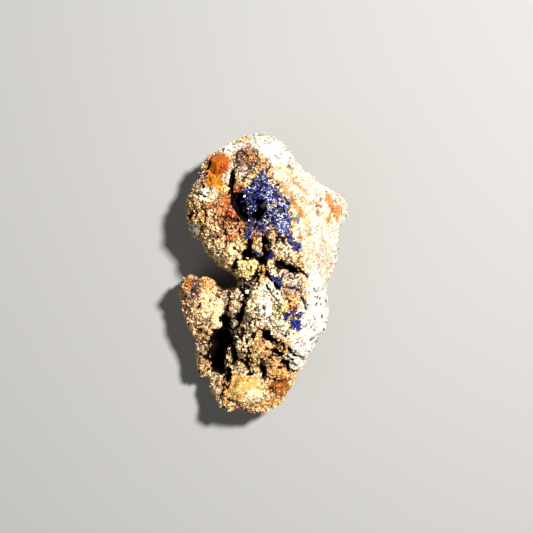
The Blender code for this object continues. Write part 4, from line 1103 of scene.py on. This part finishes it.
def sprig(chance, blades, patches, count):
    """The blades of one group, lying on the rock from root to tip, and short tablets standing
    on its patches, thinning out towards their edges."""
    tops = np.array([(rock_top(x0, y0), rock_top(x1, y1)) for x0, y0, x1, y1, _ in blades])
    ends = np.array(blades)
    roots = np.column_stack([ends[:, :2], tops.max(axis=1) - BLADE_SUNK])
    tips = np.column_stack([ends[:, 2:4], tops.max(axis=1) + BLADE_RAISED])
    x, y, reach = np.array(patches)[np.arange(count) % len(patches)].T
    angle = chance.uniform(0, 2 * math.pi, count)
    out = reach * chance.uniform(size=count) ** 0.7
    plan = np.column_stack([x + out * np.cos(angle), y + out * np.sin(angle)])
    small = np.column_stack([plan, [rock_top(*place) - FRINGE_SUNK for place in plan]])
    stand = np.column_stack([0.8 * np.cos(angle), 0.8 * np.sin(angle), np.ones(count)])
    stand = unit(stand + 0.5 * chance.normal(size=(count, 3)))
    size = FRINGE_SIZE * chance.uniform(0.6, 1.5, count)
    along = np.concatenate([unit(tips - roots), stand])
    length = np.concatenate([np.linalg.norm(tips - roots, axis=1), size])
    width = np.concatenate([ends[:, 4], size * chance.uniform(0.4, 0.8, count)])
    facing = np.tile(BLADE_FACING, (len(blades), 1))
    facing = unit(np.concatenate([facing, chance.normal(size=(count, 3))]))
    roots = np.concatenate([roots, small])
    points, faces, each = tablet_arrays(roots, along, facing, length, width, SPRIG_THICK * width)
    bright = chance.uniform(0.0, BLADE_BRIGHTEST, len(blades))
    bright = np.concatenate([bright, FRINGE_BRIGHTEST * chance.uniform(size=count) ** 4])
    return points, faces, between(AZURITE_DEEP, AZURITE_BRIGHT, bright), each


for node, (edge, blades, patches, count) in SPRIGS.items():
    tablets = sprig(chance, blades, patches, count)
    azurite_piece(node.replace("azurite_", "sprig_"), node, edge, *tablets)


# ---------------------------------------------------------------------------------------------
# The floor, the light and the camera: a pale studio floor, one soft key light high on the
# right and towards the crown, a weak fill, and a camera straight above the crystal face.

# The floor's side and the nearest that the camera sees are in metres.
FLOOR_SIZE = 4.0
PAPER = (0.28, 0.275, 0.265, 1)
LENS = 85.0
SENSOR = 36.0
NEAREST = 0.01
CAMERA_PLACE = (0.97, 2.26, 422.0)
LIGHT_AIM = (0.0, 0.0, 15.0)
ROOM_LIGHT = 0.08

bpy.ops.mesh.primitive_plane_add(size=FLOOR_SIZE, location=(0, 0, 0))
floor = bpy.context.object
floor.name = "floor"
paper, tree, shader = new_material("paper")
shader.inputs["Base Color"].default_value = PAPER
shader.inputs["Roughness"].default_value = 0.9
floor.data.materials.append(paper)

camera_data = bpy.data.cameras.new("camera")
camera_data.sensor_width = SENSOR
camera_data.lens = LENS
camera_data.clip_start = NEAREST
camera = bpy.data.objects.new("camera", camera_data)
camera.location = tuple(value * MM for value in CAMERA_PLACE)
bpy.context.scene.collection.objects.link(camera)
bpy.context.scene.camera = camera


def area_light(name, place, size, watts, colour):
    """A square lamp at a place in millimetres, turned to look at the stone."""
    data = bpy.data.lights.new(name, "AREA")
    data.size = size * MM
    data.energy = watts
    data.color = colour
    lamp = bpy.data.objects.new(name, data)
    away = np.array(place) - LIGHT_AIM
    lamp.location = tuple(np.array(place) * MM)
    lamp.rotation_euler = (
        math.acos(away[2] / np.linalg.norm(away)), 0.0, math.atan2(away[0], -away[1]),
    )
    bpy.context.scene.collection.objects.link(lamp)


area_light("key", place=(235, 170, 550), size=60, watts=9.7, colour=(1.0, 0.99, 0.97))
area_light("fill", place=(-380, -180, 420), size=500, watts=0.9, colour=(0.96, 0.97, 1.0))
world = bpy.data.worlds.new("studio")
world.use_nodes = True
background = world.node_tree.nodes["Background"]
background.inputs["Color"].default_value = (1, 1, 1, 1)
background.inputs["Strength"].default_value = ROOM_LIGHT
bpy.context.scene.world = world
bpy.context.scene.view_settings.view_transform = "Standard"
